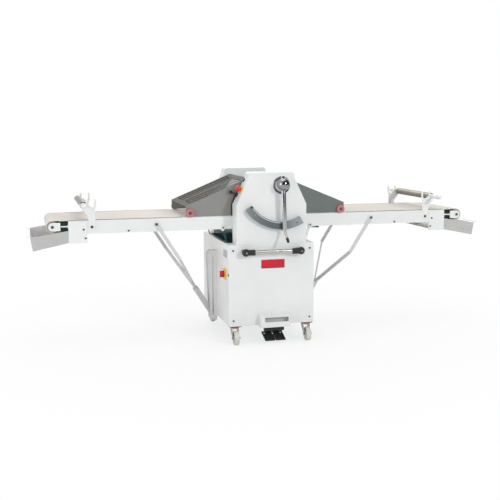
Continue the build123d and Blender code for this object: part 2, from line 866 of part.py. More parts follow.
# Casters: swivel fork with its axle, and the wheel
swivel_top = cabinet_bottom - caster_plate - gap
fork_room = 6
fork_half = wheel_width / 2 + fork_room
swivel_r = 34
swivel_tall = 10
swivel_edge = 2
crown_half = 30
crown_drop = 9
crown_thick = 6
cheek_drop = 30
cheek_tip = ((-13, 2), (-8, -11), (9, -11))
axle_over = 5
pivot_short = 1
tyre_edge = 5
wheel_hub_r = 18
wheel_hub_room = 1
for front, y_name in ((-1, "front"), (1, "rear")):
    for side, x_name in ((-1, "left"), (1, "right")):
        pivot_x = side * caster_x
        pivot_y = front * caster_y
        axle_y = pivot_y - caster_trail
        with BuildPart() as fork:
            with Locations((pivot_x, pivot_y, swivel_top - swivel_tall / 2)):
                Cylinder(swivel_r, swivel_tall)
            fillet(fork.edges().filter_by(GeomType.CIRCLE), radius=swivel_edge)
            with Locations((pivot_x, pivot_y, swivel_top - crown_drop - crown_thick / 2)):
                Box(2 * fork_half + fork_plate, 2 * crown_half, crown_thick)
            for edge in (-1, 1):
                with BuildSketch(Plane.YZ.offset(pivot_x + edge * fork_half)):
                    Polygon(
                        (pivot_y + crown_half, swivel_top - crown_drop),
                        (pivot_y - crown_half, swivel_top - crown_drop),
                        *((axle_y + out, wheel_r + rise) for out, rise in cheek_tip),
                        (pivot_y + crown_half, swivel_top - cheek_drop),
                        align=None,
                    )
                extrude(amount=fork_plate / 2, both=True)
            with Locations((pivot_x, axle_y, wheel_r)):
                Cylinder(axle_r, 2 * (fork_half + axle_over), rotation=(0, 90, 0))
            with Locations((pivot_x, pivot_y, swivel_top)):
                Cylinder(axle_r, 2 * caster_plate - pivot_short)
        save(fork.part, f"{y_name}_{x_name}_fork")
        with BuildPart() as wheel:
            with Locations((pivot_x, axle_y, wheel_r)):
                Cylinder(wheel_r, wheel_width, rotation=(0, 90, 0))
            fillet(wheel.edges().filter_by(GeomType.CIRCLE), radius=tyre_edge)
            with Locations((pivot_x, axle_y, wheel_r)):
                Cylinder(wheel_hub_r, 2 * fork_half - fork_plate - wheel_hub_room, rotation=(0, 90, 0))
                Cylinder(axle_r + running, 2 * fork_half, rotation=(0, 90, 0), mode=Mode.SUBTRACT)
        save(wheel.part, f"{y_name}_{x_name}_wheel")

# Tables, with everything that repeats on the left and on the right
cross_start = 75
cross_stop = 108
cross_first = drive_x + cross_start
cross_last = rail_end - cross_stop
cross_pitch = (cross_last - cross_first) / (cross_count - 1)
cross_tall = 30
cross_wide = 24
bed_short = 45
rail_nose = 14
rail_nose_rise = 30
rail_foot_run = 20
rail_top_run = 10
rail_top_fall = 16
flange_start = 45
foot_flange = 20
foot_flange_start = 40
end_plate_low = rail_bottom - end_plate_drop
end_plate_high = rail_top - 2 * flank
end_plate_x = rail_end - end_plate_length / 2
tab_wide = 24
tab_tall = 52
lug = 8
lug_in = 14
lug_wide = 24
rod_room = 0.5
strut_pin_sink = 0.5
strut_pin_head = 5
takeup_in = 4
takeup_thick = 6
takeup_long = 80
takeup_back = 12
takeup_heel = 24
takeup_heel_back = 40
rod_back = 44
yoke_back = 46
yoke_in = 8
yoke_long = 12
yoke_wide = 14
tray_gap = 2
tray_back = 88
tray_fold_r = 6
tray_wall_back = 120
tray_wall_gap = 4
tray_in = rail_end + tray_gap
tray_out = rail_end + tray_length
holder_back = 53
holder_rise = 24
holder_corner = 4
neck_in = 10
neck_out = 20
neck_drop = 84
holder_x = pin_x - holder_back
holder_low = rail_bottom + holder_rise
holder_wide = 48
cradle_r = pin_handle_r + gap
cradle_mouth = 60
prong_root = 10
prong_rise = 40
prong_top = pin_z + prong_rise
guard_back_in = 12
guard_back_rise = 24
guard_back_x = guard_x - guard_back_in
guard_back_z = guard_z + guard_back_rise
guard_lift = 2.5
guard_toe_in = 10
guard_toe_rise = 6
guard_ear = ((-18, -22), (-24, 12))
guard_tube_short = 4
guard_axle_long = 22
guard_roller_out = 12
guard_roller_edge = 3
fork_half_gap = 8
strut_extra = 2
strut_eye = 1
guard_run = guard_tip_x - guard_back_x
guard_fall = guard_back_z - guard_tip_z
guard_length = math.hypot(guard_run, guard_fall)
for side, hand in ((-1, "left"), (1, "right")):
    # Each rail is bent to a channel and carries its hinge pin and the pin of the strut
    with BuildPart() as rails:
        for front in (-1, 1):
            with BuildSketch(Plane.XZ.offset(front * (rail_outer - rail_thick / 2))):
                Polygon(
                    (side * (drive_x - rail_nose), rail_bottom + rail_nose_rise),
                    (side * (drive_x + rail_foot_run), rail_bottom),
                    (side * rail_end, rail_bottom),
                    (side * rail_end, rail_top),
                    (side * (drive_x + rail_top_run), rail_top),
                    (side * (drive_x - rail_nose), rail_top - rail_top_fall),
                    align=None,
                )
                with Locations((side * drive_x, roller_z)):
                    Circle(roller_pin_r + running, mode=Mode.SUBTRACT)
            extrude(amount=rail_thick / 2, both=True)
            flange_x = side * (drive_x + flange_start + rail_end) / 2
            with Locations((flange_x, front * (rail_outer - flange / 2), rail_top - sheet / 2)):
                Box(rail_end - drive_x - flange_start, flange, sheet)
            flange_x = side * (fold_x + foot_flange_start + rail_end) / 2
            with Locations((flange_x, front * (rail_outer - foot_flange / 2), rail_bottom + sheet / 2)):
                Box(rail_end - fold_x - foot_flange_start, foot_flange, sheet)
            with Locations((side * (rail_end - lug / 2), front * (rail_outer - lug_in), roller_z)):
                Box(lug, lug_wide, cross_tall)
                Cylinder(takeup_rod_r + rod_room, 2 * lug, rotation=(0, 90, 0), mode=Mode.SUBTRACT)
            with Locations((side * fold_x, front * (rail_outer + end_plate - fold_pin_long / 2), fold_z)):
                Cylinder(fold_pin_r, fold_pin_long, rotation=(90, 0, 0))
            with Locations((side * fold_x, front * (rail_outer + end_plate + flank), fold_z)):
                Cylinder(fold_pin_r + flank, 2 * flank, rotation=(90, 0, 0))
            with Locations((side * strut_x, front * (rail_outer + strut_thick), strut_z)):
                Cylinder(strut_pin_r, 2 * (strut_thick + strut_pin_sink), rotation=(90, 0, 0))
            head_y = rail_outer + 2 * strut_thick - strut_pin_sink
            with Locations((side * strut_x, front * head_y, strut_z)):
                Cylinder(strut_pin_r + strut_pin_head, strut_pin_head, rotation=(90, 0, 0))

    # Ties between the rails, the bed under the belt, and the plates bolted outside the rails
    with BuildPart() as ties:
        with Locations((side * (cross_first + cross_last) / 2, 0, (rail_bottom + rail_top) / 2)):
            with GridLocations(cross_pitch, 1, cross_count, 1):
                Box(cross_wide, 2 * (rail_outer - rail_thick), cross_tall)
    with BuildPart() as bed:
        with Locations((side * (drive_x + end_x) / 2, 0, rail_top + bed_thick / 2)):
            Box(end_x - drive_x - 2 * bed_short, 2 * (belt_half + arm_thick), bed_thick)
    with BuildPart() as end_plates:
        for front in (-1, 1):
            with BuildSketch(Plane.XZ.offset(front * (rail_outer + end_plate / 2))):
                with Locations((side * end_plate_x, (end_plate_low + end_plate_high) / 2)):
                    RectangleRounded(end_plate_length, end_plate_high - end_plate_low, end_plate)
            extrude(amount=end_plate / 2, both=True)
    with BuildPart() as hinge_tabs:
        for front in (-1, 1):
            with BuildSketch(Plane.XZ.offset(front * (rail_outer + end_plate / 2))):
                with Locations((side * fold_x, fold_z)):
                    SlotOverall(tab_tall, tab_wide, rotation=90)
                    Circle(fold_pin_r + gap, mode=Mode.SUBTRACT)
            extrude(amount=end_plate / 2, both=True)
    frame_builders = (rails, ties, bed, end_plates, hinge_tabs)
    frame_pieces = [piece for made in frame_builders for piece in made.part.solids()]
    save(Compound(frame_pieces), f"{hand}_table_frame")

    with BuildPart() as belt:
        for radius, cut in ((belt_outer, Mode.ADD), (belt_inner, Mode.SUBTRACT)):
            with BuildSketch(Plane.XZ):
                with Locations((side * (drive_x + end_x) / 2, roller_z)):
                    SlotCenterToCenter(end_x - drive_x, 2 * radius)
            extrude(amount=belt_half, both=True, mode=cut)
    save(belt.part, f"{hand}_belt")

    drive_pin = ("drive_roller", drive_x, rail_outer)
    end_pin = ("end_roller", end_x, rail_outer + rail_thick)
    for name, x, pin_out in (drive_pin, end_pin):
        with BuildPart() as roller:
            with Locations((side * x, 0, roller_z)):
                Cylinder(roller_r, 2 * belt_half, rotation=(90, 0, 0))
                Cylinder(roller_pin_r, 2 * pin_out, rotation=(90, 0, 0))
        save(roller.part, f"{hand}_{name}")

    # Take-ups: the rounded end bearings of the end roller, each on a tension rod with its nut
    with BuildPart() as takeups:
        for front in (-1, 1):
            rod_y = front * (rail_outer - lug_in)
            with BuildSketch(Plane.XZ.offset(front * (rail_outer - takeup_in))):
                with Locations((side * (end_x - takeup_back), roller_z)):
                    SlotOverall(takeup_long, 2 * takeup_half)
                with Locations((side * (end_x - takeup_heel_back), roller_z)):
                    Rectangle(takeup_heel, 2 * takeup_half)
                with Locations((side * end_x, roller_z)):
                    Circle(roller_pin_r + running, mode=Mode.SUBTRACT)
            extrude(amount=takeup_thick / 2, both=True)
            with Locations((side * (rail_end - 2 * lug + end_x - rod_back) / 2, rod_y, roller_z)):
                Cylinder(takeup_rod_r, end_x - rod_back - rail_end + 2 * lug, rotation=(0, 90, 0))
            with Locations((side * (end_x - yoke_back), front * (rail_outer - yoke_in), roller_z)):
                Box(yoke_long, yoke_wide, cross_tall)
            with Locations((side * (rail_end + lug / 2), rod_y, roller_z)):
                Cylinder(2 * takeup_rod_r, lug, rotation=(0, 90, 0))
    save(takeups.part, f"{hand}_takeups")

    # Tray under the open end: a folded floor with its lip, and two side walls
    floor_line = [
        (side * (rail_end - tray_back), tray_floor),
        (side * tray_in, tray_floor),
        (side * tray_out, tray_floor - tray_fall),
        (side * (tray_out + tray_lean), tray_floor - tray_fall + tray_rise),
        (side * (tray_out + tray_lean + tray_lip), tray_floor - tray_fall + tray_rise + tray_lip_rise),
    ]
    with BuildPart() as tray:
        with BuildSketch(Plane.XZ):
            with BuildLine():
                FilletPolyline(*floor_line, radius=tray_fold_r)
            trace(line_width=sheet)
        extrude(amount=rail_outer, both=True)
        for front in (-1, 1):
            with BuildSketch(Plane.XZ.offset(front * (rail_outer - sheet / 2))):
                Polygon(
                    (side * (rail_end - tray_wall_back), rail_bottom - tray_wall_gap),
                    (side * (rail_end - tray_wall_back), tray_floor),
                    *floor_line[1:4],
                    (side * tray_in, holder_low),
                    (side * tray_in, rail_bottom - tray_wall_gap),
                    align=None,
                )
            extrude(amount=sheet / 2, both=True)
    save(tray.part, f"{hand}_tray")

    # Holders of the rolling pin: a stem with two open cradles side by side
    with BuildPart() as pin_holders:
        for front in (-1, 1):
            with BuildSketch(Plane.XZ.offset(front * (rail_outer + rail_thick / 2))):
                with Locations((side * holder_x, (holder_low + pin_z - pin_handle_r) / 2)):
                    RectangleRounded(holder_wide, pin_z - pin_handle_r - holder_low, holder_corner)
                Polygon(
                    (side * (holder_x - neck_in), pin_z - neck_drop),
                    (side * (holder_x + neck_out), pin_z - neck_drop),
                    (side * (pin_x + cradle_r + prong), pin_z),
                    (side * (pin_x - cradle_pitch - cradle_r - prong), pin_z),
                    align=None,
                )
                for cradle_x in (pin_x, pin_x - cradle_pitch):
                    prong_x = cradle_x - cradle_r - prong / 2
                    with Locations((side * prong_x, (pin_z - prong_root + prong_top) / 2)):
                        RectangleRounded(prong, prong_top - pin_z + prong_root, holder_corner)
                with Locations((side * (pin_x + cradle_r + prong / 2), pin_z)):
                    RectangleRounded(prong, 2 * prong_root, holder_corner)
                for cradle_x in (pin_x, pin_x - cradle_pitch):
                    with Locations((side * cradle_x, pin_z)):
                        Circle(cradle_r, mode=Mode.SUBTRACT)
                    with Locations((side * cradle_x, pin_z + cradle_mouth / 2)):
                        Rectangle(2 * cradle_r, cradle_mouth, mode=Mode.SUBTRACT)
            extrude(amount=rail_thick / 2, both=True)
    save(pin_holders.part, f"{hand}_pin_holders")

    # Rolling pin: a turned body, straight where it lies in the cradles, with handles that swell and narrow
    with BuildPart() as rolling_pin:
        with BuildSketch(Plane.XY.offset(pin_z)):
            with BuildLine():
                Polyline(
                    (side * pin_x, 0),
                    (side * pin_x + pin_r, 0),
                    (side * pin_x + pin_r, pin_half - pin_round),
                )
                FilletPolyline(
                    (side * pin_x + pin_r, pin_half - pin_round),
                    (side * pin_x + pin_r, pin_half),
                    (side * pin_x + pin_handle_r, pin_half),
                    (side * pin_x + pin_handle_r, pin_straight),
                    radius=pin_round / 2,
                )
                Spline(
                    (side * pin_x + pin_handle_r, pin_straight),
                    (side * pin_x + pin_waist, (pin_straight + pin_handle_end) / 2 - pin_r),
                    (side * pin_x + pin_handle_r, pin_handle_end - pin_r),
                    (side * pin_x, pin_handle_end),
                    tangents=((0, 1), (-1, 0)),
                )
                Line((side * pin_x, pin_handle_end), (side * pin_x, 0))
            make_face()
            mirror(about=Plane.XZ)
        revolve(axis=Axis((side * pin_x, 0, pin_z), (0, 1, 0)))
    save(rolling_pin.part, f"{hand}_rolling_pin")

    # Strut: one leg that forks into two bent bars
    bar_y = rail_outer + strut_thick / 2 + strut_gap
    with BuildPart() as strut:
        with Locations((side * foot_x, 0, foot_z)):
            Cylinder(foot_r, 2 * (channel_half - flank - sheet), rotation=(90, 0, 0))
        foot = (side * foot_x, 0, foot_z)
        bar(foot, (side * strut_join_x, 0, strut_join_z), 2 * foot_r, strut_leg, (0, 1, 0))
        for front in (-1, 1):
            join = (side * strut_join_x, front * fork_half_gap, strut_join_z)
            bend = (side * strut_bend_x, front * bar_y, strut_bend_z)
            top = (side * strut_x, front * bar_y, strut_z)
            bar(join, bend, strut_bar, strut_thick + strut_extra, (0, 0, 1))
            bar(bend, top, strut_bar, strut_thick, (0, 0, 1))
            with Locations(bend):
                Cylinder(strut_bar / 2, strut_thick + strut_extra, rotation=(90, 0, 0))
            with Locations(top):
                Cylinder(strut_bar / 2 + strut_eye, strut_thick, rotation=(90, 0, 0))
                Cylinder(strut_pin_r + running, 5 * strut_thick, rotation=(90, 0, 0), mode=Mode.SUBTRACT)
    save(strut.part, f"{hand}_strut")

    # Guard: hinge tube, side plates with a slotted top, and the two rollers
    with BuildPart() as guard_tube:
        with Locations((side * guard_x, 0, guard_z)):
            Cylinder(guard_tube_r, 2 * head_in - guard_tube_short, rotation=(90, 0, 0))
            Cylinder(guard_pin_r, 2 * side_plate_y + side_plate, rotation=(90, 0, 0))
    save(guard_tube.part, f"{hand}_guard_tube")

    with BuildPart() as guard:
        for front in (-1, 1):
            with BuildSketch(Plane.XZ.offset(front * guard_plate_y)):
                Polygon(
                    (side * guard_back_x, guard_back_z),
                    (side * guard_tip_x, guard_tip_z),
                    (side * guard_tip_x, belt_top + guard_toe_rise),
                    (side * (guard_tip_x - guard_toe_in), belt_top + guard_lift),
                    (side * guard_heel_x, belt_top + guard_lift),
                    *((side * (guard_x + out), guard_z + rise) for out, rise in guard_ear),
                    align=None,
                )
                with Locations((side * guard_x, guard_z)):
                    Circle(guard_tube_r + running, mode=Mode.SUBTRACT)
            extrude(amount=guard_plate / 2, both=True)
            axle_mid = front * (guard_plate_y + guard_axle_long / 2)
            with Locations((side * guard_roller_x, axle_mid, guard_roller_z)):
                Cylinder(guard_axle_r, guard_axle_long, rotation=(90, 0, 0))
        slope_dir = (side * guard_run, 0, -guard_fall)
        slope_up = (side * guard_fall, 0, guard_run)
        slope_mid = (side * (guard_back_x + guard_tip_x) / 2, 0, (guard_back_z + guard_tip_z) / 2)
        with BuildSketch(Plane(origin=slope_mid, x_dir=slope_dir, z_dir=slope_up)):
            Rectangle(guard_length, 2 * guard_plate_y + guard_plate)
            with GridLocations(slot_pitch, guard_plate_y, slot_count, 2):
                Rectangle(slot_width, guard_plate_y - slot_border, mode=Mode.SUBTRACT)
        extrude(amount=sheet)
    save(guard.part, f"{hand}_guard")

    with BuildPart() as guard_rollers:
        for front in (-1, 1):
            roller_y = front * (guard_plate_y + guard_roller_out)
            with Locations((side * guard_roller_x, roller_y, guard_roller_z)):
                Cylinder(guard_roller_r, guard_roller_width, rotation=(90, 0, 0))
        fillet(guard_rollers.edges().filter_by(GeomType.CIRCLE), radius=guard_roller_edge)
        with Locations((side * guard_roller_x, 0, guard_roller_z)):
            Cylinder(guard_axle_r + running, 3 * guard_plate_y, rotation=(90, 0, 0), mode=Mode.SUBTRACT)
    save(guard_rollers.part, f"{hand}_guard_rollers")
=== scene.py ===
# %% [markdown]
# A reversible dough sheeter, dressed for the camera.
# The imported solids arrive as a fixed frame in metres: X along the tables, Y to the back, Z up.
# This lesson lights them, gives every solid a finish of its own, and adds the small pieces
# that a maker would fit last: screws, caps, treads, plates and trims.

# %% Load the frame
import json
import math

import bpy
from mathutils import Matrix, Vector


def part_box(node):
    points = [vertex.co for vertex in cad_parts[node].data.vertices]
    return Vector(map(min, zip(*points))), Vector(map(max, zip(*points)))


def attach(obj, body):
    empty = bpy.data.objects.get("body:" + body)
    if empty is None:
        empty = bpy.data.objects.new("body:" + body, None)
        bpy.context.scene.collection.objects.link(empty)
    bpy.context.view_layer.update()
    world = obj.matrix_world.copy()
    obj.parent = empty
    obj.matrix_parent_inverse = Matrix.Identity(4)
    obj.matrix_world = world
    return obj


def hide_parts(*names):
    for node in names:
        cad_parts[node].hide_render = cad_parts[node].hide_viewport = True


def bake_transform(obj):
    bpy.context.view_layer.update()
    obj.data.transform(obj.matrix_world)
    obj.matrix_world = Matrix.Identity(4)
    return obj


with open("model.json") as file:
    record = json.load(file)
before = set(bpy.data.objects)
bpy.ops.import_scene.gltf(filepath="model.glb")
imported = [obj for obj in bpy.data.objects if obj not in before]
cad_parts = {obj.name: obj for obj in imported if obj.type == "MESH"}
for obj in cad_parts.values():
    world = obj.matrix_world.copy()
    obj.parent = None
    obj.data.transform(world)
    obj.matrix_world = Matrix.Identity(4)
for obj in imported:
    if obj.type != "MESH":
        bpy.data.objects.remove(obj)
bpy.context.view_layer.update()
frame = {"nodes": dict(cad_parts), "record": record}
nodes = frame["nodes"]
hands = (("left", -1), ("right", 1))
both = (-1, 1)

# %% [markdown]
# The photograph was taken from eye height, a little to the operator's left, with a long lens.
# The camera below was fitted to the straight edges of the cabinet, the rails and the trays.
# A camera can be aimed with a constraint, but a matrix of its three axes says exactly where it looks.

# %% Camera
camera_place = Vector((-1.64321, -6.02947, 1.50763))
camera_yaw, camera_pitch, camera_roll = (math.radians(a) for a in (14.72, 8.14, -0.24))
focal_pixels = 846.05
photo_pixels = 500
sensor_mm = 36
ahead = Vector((
    math.sin(camera_yaw) * math.cos(camera_pitch),
    math.cos(camera_yaw) * math.cos(camera_pitch),
    -math.sin(camera_pitch),
))
level = Vector((math.cos(camera_yaw), -math.sin(camera_yaw), 0))
upright = level.cross(ahead)
across = level * math.cos(camera_roll) + upright * math.sin(camera_roll)
upright = upright * math.cos(camera_roll) - level * math.sin(camera_roll)
lens = bpy.data.cameras.new("photo_camera")
lens.sensor_fit = "HORIZONTAL"
lens.sensor_width = sensor_mm
lens.lens = focal_pixels / photo_pixels * sensor_mm
lens.clip_end = 60
camera = bpy.data.objects.new("photo_camera", lens)
scene = bpy.context.scene
scene.collection.objects.link(camera)
camera.matrix_world = Matrix((
    (across.x, upright.x, -ahead.x, camera_place.x),
    (across.y, upright.y, -ahead.y, camera_place.y),
    (across.z, upright.z, -ahead.z, camera_place.z),
    (0, 0, 0, 1),
))
scene.camera = camera
print("lens", round(lens.lens, 2), "mm")

# %% [markdown]
# The world, the floor and every finish are trees of shader nodes. Each node could be added, set and
# linked on lines of its own. A few helpers do all three in one go, so that a tree stays short enough
# to read.

# %% Helpers for shader nodes
def feed(tree, node, *ordered, **named):
    """Give a node its inputs, in order or by name. Each is a value, or the socket that it comes from."""
    inputs = list(enumerate(ordered))
    inputs += [(label.replace("_", " "), value) for label, value in named.items()]
    for key, value in inputs:
        if isinstance(value, bpy.types.NodeSocket):
            tree.links.new(value, node.inputs[key])
        else:
            node.inputs[key].default_value = value


def add_node(tree, kind, *ordered, operation=None, **named):
    """Add a shader node, set its operation and give it its inputs."""
    node = tree.nodes.new(f"ShaderNode{kind}")
    if operation:
        node.operation = operation
    feed(tree, node, *ordered, **named)
    return node


def calc(tree, operation, *values):
    """What a Math node makes of one or two values."""
    return add_node(tree, "Math", *values, operation=operation).outputs[0]


def dot(tree, first, second):
    """How far one direction or place lies along another."""
    return add_node(tree, "VectorMath", first, second, operation="DOT_PRODUCT").outputs["Value"]


def spread(tree, value, from_low, from_high, low=0, high=1):
    """A value moved from one range to another."""
    ranges = {"From_Min": from_low, "From_Max": from_high, "To_Min": low, "To_Max": high}
    return add_node(tree, "MapRange", Value=value, **ranges).outputs["Result"]


def own_place(tree):
    """The object's own coordinates, in metres."""
    return add_node(tree, "TexCoord").outputs["Object"]


def own_axis(tree, axis):
    """One of the object's own coordinates."""
    return add_node(tree, "SeparateXYZ", own_place(tree)).outputs[axis]


def noise(tree, where, scale, detail, rough=0.5):
    """Soft noise from 0 to 1."""
    node = add_node(tree, "TexNoise", Vector=where, Scale=scale, Detail=detail, Roughness=rough)
    return node.outputs["Fac"]


def bump(tree, height, strength, distance):
    """The normal of a surface that a height raises."""
    return add_node(tree, "Bump", Strength=strength, Distance=distance, Height=height).outputs["Normal"]


print("node helpers ready")

# %% [markdown]
# The object stands on a white sweep in soft, nearly even light. One could bend a backdrop, but a flat
# floor and a white world do the same for a level camera. The world looks white to the camera and
# lights the object a little less than that. Polished metal sees a white backdrop too, but a dim room
# to the photographer's right, which gives it dark bands.

# %% World
scene.view_settings.view_transform = "Standard"
white = (1, 1, 1, 1)
cool_white = (0.97, 0.985, 1, 1)
sky_strength = 0.56
room_way = (0.65, -0.76, 0)
dim_sky = 0.08


def ways_of_seeing(tree):
    """Two masks: rays from the camera alone, and all that show a thing directly, in gloss or in glass."""
    rays = add_node(tree, "LightPath").outputs
    seen = rays["Is Camera Ray"]
    for other in ("Is Glossy Ray", "Is Transmission Ray"):
        seen = calc(tree, "MAXIMUM", seen, rays[other])
    return rays["Is Camera Ray"], seen


world = bpy.data.worlds.new("studio_white")
scene.world = world
world.use_nodes = True
sky = world.node_tree
sky.nodes.clear()
camera_ray, seen = ways_of_seeing(sky)
way = add_node(sky, "TexCoord").outputs["Generated"]
room = spread(sky, dot(sky, way, room_way), 0, 0.3, low=1, high=dim_sky)
lit = add_node(sky, "Background", Color=cool_white, Strength=sky_strength)
shown = add_node(sky, "Background", Color=white, Strength=calc(sky, "MAXIMUM", room, camera_ray))
choice = add_node(sky, "MixShader", seen, lit.outputs[0], shown.outputs[0])
add_node(sky, "OutputWorld", Surface=choice.outputs[0])
print("world", len(sky.nodes), "nodes")

# %% [markdown]
# The floor does as the world does: seen directly it mixes its lit paint with a white glow, most of it
# far from the object, so that the horizon disappears and a soft shadow stays under the casters.

# %% Floor
floor_size = 40
dim_floor = 0.4
room_near, room_far = 4.5, 8
shadow_near, shadow_far = 0.6, 2.6
shadow_glow = 0.76
bpy.ops.object.select_all(action="DESELECT")
bpy.ops.mesh.primitive_plane_add(size=floor_size, location=(0, 0, 0))
floor = bpy.context.object
floor.name = "studio_floor"
floor_paint = bpy.data.materials.new("studio_floor")
floor_paint.use_nodes = True
ground = floor_paint.node_tree
sweep = ground.nodes["Principled BSDF"]
feed(ground, sweep, Base_Color=(0.93, 0.93, 0.93, 1), Roughness=0.9, Specular_IOR_Level=0.1)
camera_ray, seen = ways_of_seeing(ground)
where = own_place(ground)
room = spread(ground, dot(ground, where, room_way), room_near, room_far, low=1, high=dim_floor)
glow = add_node(ground, "Emission", Strength=calc(ground, "MAXIMUM", room, camera_ray))
away = add_node(ground, "VectorMath", where, operation="LENGTH").outputs["Value"]
whiter = spread(ground, away, shadow_near, shadow_far, low=shadow_glow, high=1)
share = calc(ground, "MULTIPLY", seen, whiter)
mixed = add_node(ground, "MixShader", share, sweep.outputs[0], glow.outputs[0])
feed(ground, ground.nodes["Material Output"], Surface=mixed.outputs[0])
floor.data.materials.append(floor_paint)
print("floor", len(ground.nodes), "nodes")

# %% [markdown]
# Four large round lamps give the soft light: a key from the right, a fill from the left, one behind
# and one above. Their sizes are in metres and their strengths in watts.

# %% Lamps
def lamp(name, place, aim, size, watts):
    """A soft area lamp at a place, aimed at a point."""
    light = bpy.data.lights.new(name, "AREA")
    light.shape = "DISK"
    light.size = size
    light.energy = watts
    holder = bpy.data.objects.new(name, light)
    scene.collection.objects.link(holder)
    holder.location = place
    holder.rotation_euler = (Vector(aim) - Vector(place)).to_track_quat("-Z", "Y").to_euler()


lamp("key_lamp", (4.2, -8.4, 4.2), (0, 0, 0.7), 1.3, 262)
lamp("fill_lamp", (-5.2, -2.4, 1.7), (0, 0, 0.7), 3.5, 70)
lamp("back_lamp", (0.5, 4.8, 4.2), (0, 0, 0.8), 4, 75)
lamp("top_lamp", (0, -0.4, 5.6), (0, 0, 0.9), 5, 72)

# %% [markdown]
# Several finishes share the same small effects, so each effect is built once as a shader node group.
# A group gets named sockets, reads the object's own coordinates in metres, and gives out masks and
# normals. Powder coat has a fine orange-peel skin and a slow cloudiness that keeps large panels from
# looking flat.

# %% Shared effect: coat skin
def new_group(name, inputs, outputs):
    """An empty shader node group with its sockets, what comes in, and the node that gives out."""
    group = bpy.data.node_groups.new(name, "ShaderNodeTree")
    for label, value in inputs.items():
        kind = "NodeSocketVector" if isinstance(value, tuple) else "NodeSocketFloat"
        group.interface.new_socket(label, in_out="INPUT", socket_type=kind).default_value = value
    for label in outputs:
        kind = "NodeSocketVector" if label == "Normal" else "NodeSocketFloat"
        group.interface.new_socket(label, in_out="OUTPUT", socket_type=kind)
    return group, group.nodes.new("NodeGroupInput").outputs, group.nodes.new("NodeGroupOutput")


coat_skin, given, result = new_group(
    "coat_skin", {"Peel Scale": 420.0, "Peel Depth": 0.06, "Cloud Scale": 3.0}, ("Cloud", "Normal"))
where = own_place(coat_skin)
peel = noise(coat_skin, where, given["Peel Scale"], detail=2)
cloud = noise(coat_skin, where, given["Cloud Scale"], detail=4, rough=0.6)
skin_normal = bump(coat_skin, peel, given["Peel Depth"], distance=0.0006)
feed(coat_skin, result, Cloud=cloud, Normal=skin_normal)
print("group", coat_skin.name, len(coat_skin.nodes), "nodes")

# %% [markdown]
# Dust and flour settle low down, and rubbed dirt gathers in patches.
# A mask from the height above the floor, broken up by noise, can darken any paint near the ground.

# %% Shared effect: settled dirt
settled_dirt, given, result = new_group(
    "settled_dirt", {"Low": 0.0, "High": 0.35, "Patch Scale": 14.0}, ("Mask",))
fade = spread(settled_dirt, own_axis(settled_dirt, "Z"), given["Low"], given["High"], low=1, high=0)
patches = noise(settled_dirt, own_place(settled_dirt), given["Patch Scale"], detail=5)
feed(settled_dirt, result, Mask=calc(settled_dirt, "MULTIPLY", fade, patches))
print("group", settled_dirt.name, len(settled_dirt.nodes), "nodes")

# %% [markdown]
# Brushed, ground and turned metal all show fine lines, only in different directions. Noise that is
# squeezed along one axis gives those lines; three numbers say how tight they are along X, Y and Z.

# %% Shared effect: brush lines
brush_lines, given, result = new_group(
    "brush_lines", {"Tightness": (30.0, 900.0, 900.0), "Depth": 0.15, "Smear Scale": 9.0},
    ("Line", "Smear", "Normal"))
where = own_place(brush_lines)
squeezed = add_node(brush_lines, "VectorMath", where, given["Tightness"], operation="MULTIPLY")
lines = noise(brush_lines, squeezed.outputs["Vector"], 1, detail=3)
smear = noise(brush_lines, where, given["Smear Scale"], detail=4)
line_normal = bump(brush_lines, lines, given["Depth"], distance=0.0003)
feed(brush_lines, result, Line=lines, Smear=smear, Normal=line_normal)
print("group", brush_lines.name, len(brush_lines.nodes), "nodes")

# %% [markdown]
# Moulded plastic and rubber carry the fine pebble of their mould, with a slightly duller worn sheen.
# Cells of a Voronoi texture make that pebble without any picture.

# %% Shared effect: mould grain
mould_grain, given, result = new_group(
    "mould_grain", {"Grain Scale": 900.0, "Grain Depth": 0.2, "Wear Scale": 18.0}, ("Wear", "Normal"))
where = own_place(mould_grain)
pebble = add_node(mould_grain, "TexVoronoi", Vector=where, Scale=given["Grain Scale"]).outputs["Distance"]
wear = noise(mould_grain, where, given["Wear Scale"], detail=5)
pebble_normal = bump(mould_grain, pebble, given["Grain Depth"], distance=0.0004)
feed(mould_grain, result, Wear=wear, Normal=pebble_normal)
print("group", mould_grain.name, len(mould_grain.nodes), "nodes")

# %% [markdown]
# Hands, cloths and trays rub the edges of everything in a bakery. Where the normal of a slightly
# rounded edge differs from the face's own normal there is an edge, and noise breaks the rubbed line
# into patches.

# %% Shared effect: edge wear
edge_wear, given, result = new_group("edge_wear", {"Width": 0.0016, "Patch Scale": 45.0}, ("Mask",))
rounded = add_node(edge_wear, "Bevel", Radius=given["Width"])
rounded.samples = 4
flat = add_node(edge_wear, "NewGeometry").outputs["Normal"]
bend = spread(edge_wear, dot(edge_wear, rounded.outputs["Normal"], flat), 0.99, 0.82)
rubs = noise(edge_wear, own_place(edge_wear), given["Patch Scale"], detail=5)
feed(edge_wear, result, Mask=calc(edge_wear, "MULTIPLY", bend, spread(edge_wear, rubs, 0.4, 0.62)))
print("group", edge_wear.name, len(edge_wear.nodes), "nodes")

# %% [markdown]
# A material is a Principled shader with these groups wired into its colour, roughness and normal.
# The helpers below each make one family of finish, so that a new colour is one line.

# %% Helpers for materials
floor_dirt = (0.36, 0.33, 0.28)
bare_edge = (0.42, 0.41, 0.39)
mask_low, mask_high = 0.3, 0.7


def new_material(name):
    """A material, its node tree and its shader."""
    made = bpy.data.materials.new(name)
    made.use_nodes = True
    return made, made.node_tree, made.node_tree.nodes["Principled BSDF"]


def place_group(tree, group, **values):
    """Put a shared effect into a material with its own values, and hand over what it gives out."""
    node = tree.nodes.new("ShaderNodeGroup")
    node.node_tree = group
    feed(tree, node, **values)
    return node.outputs


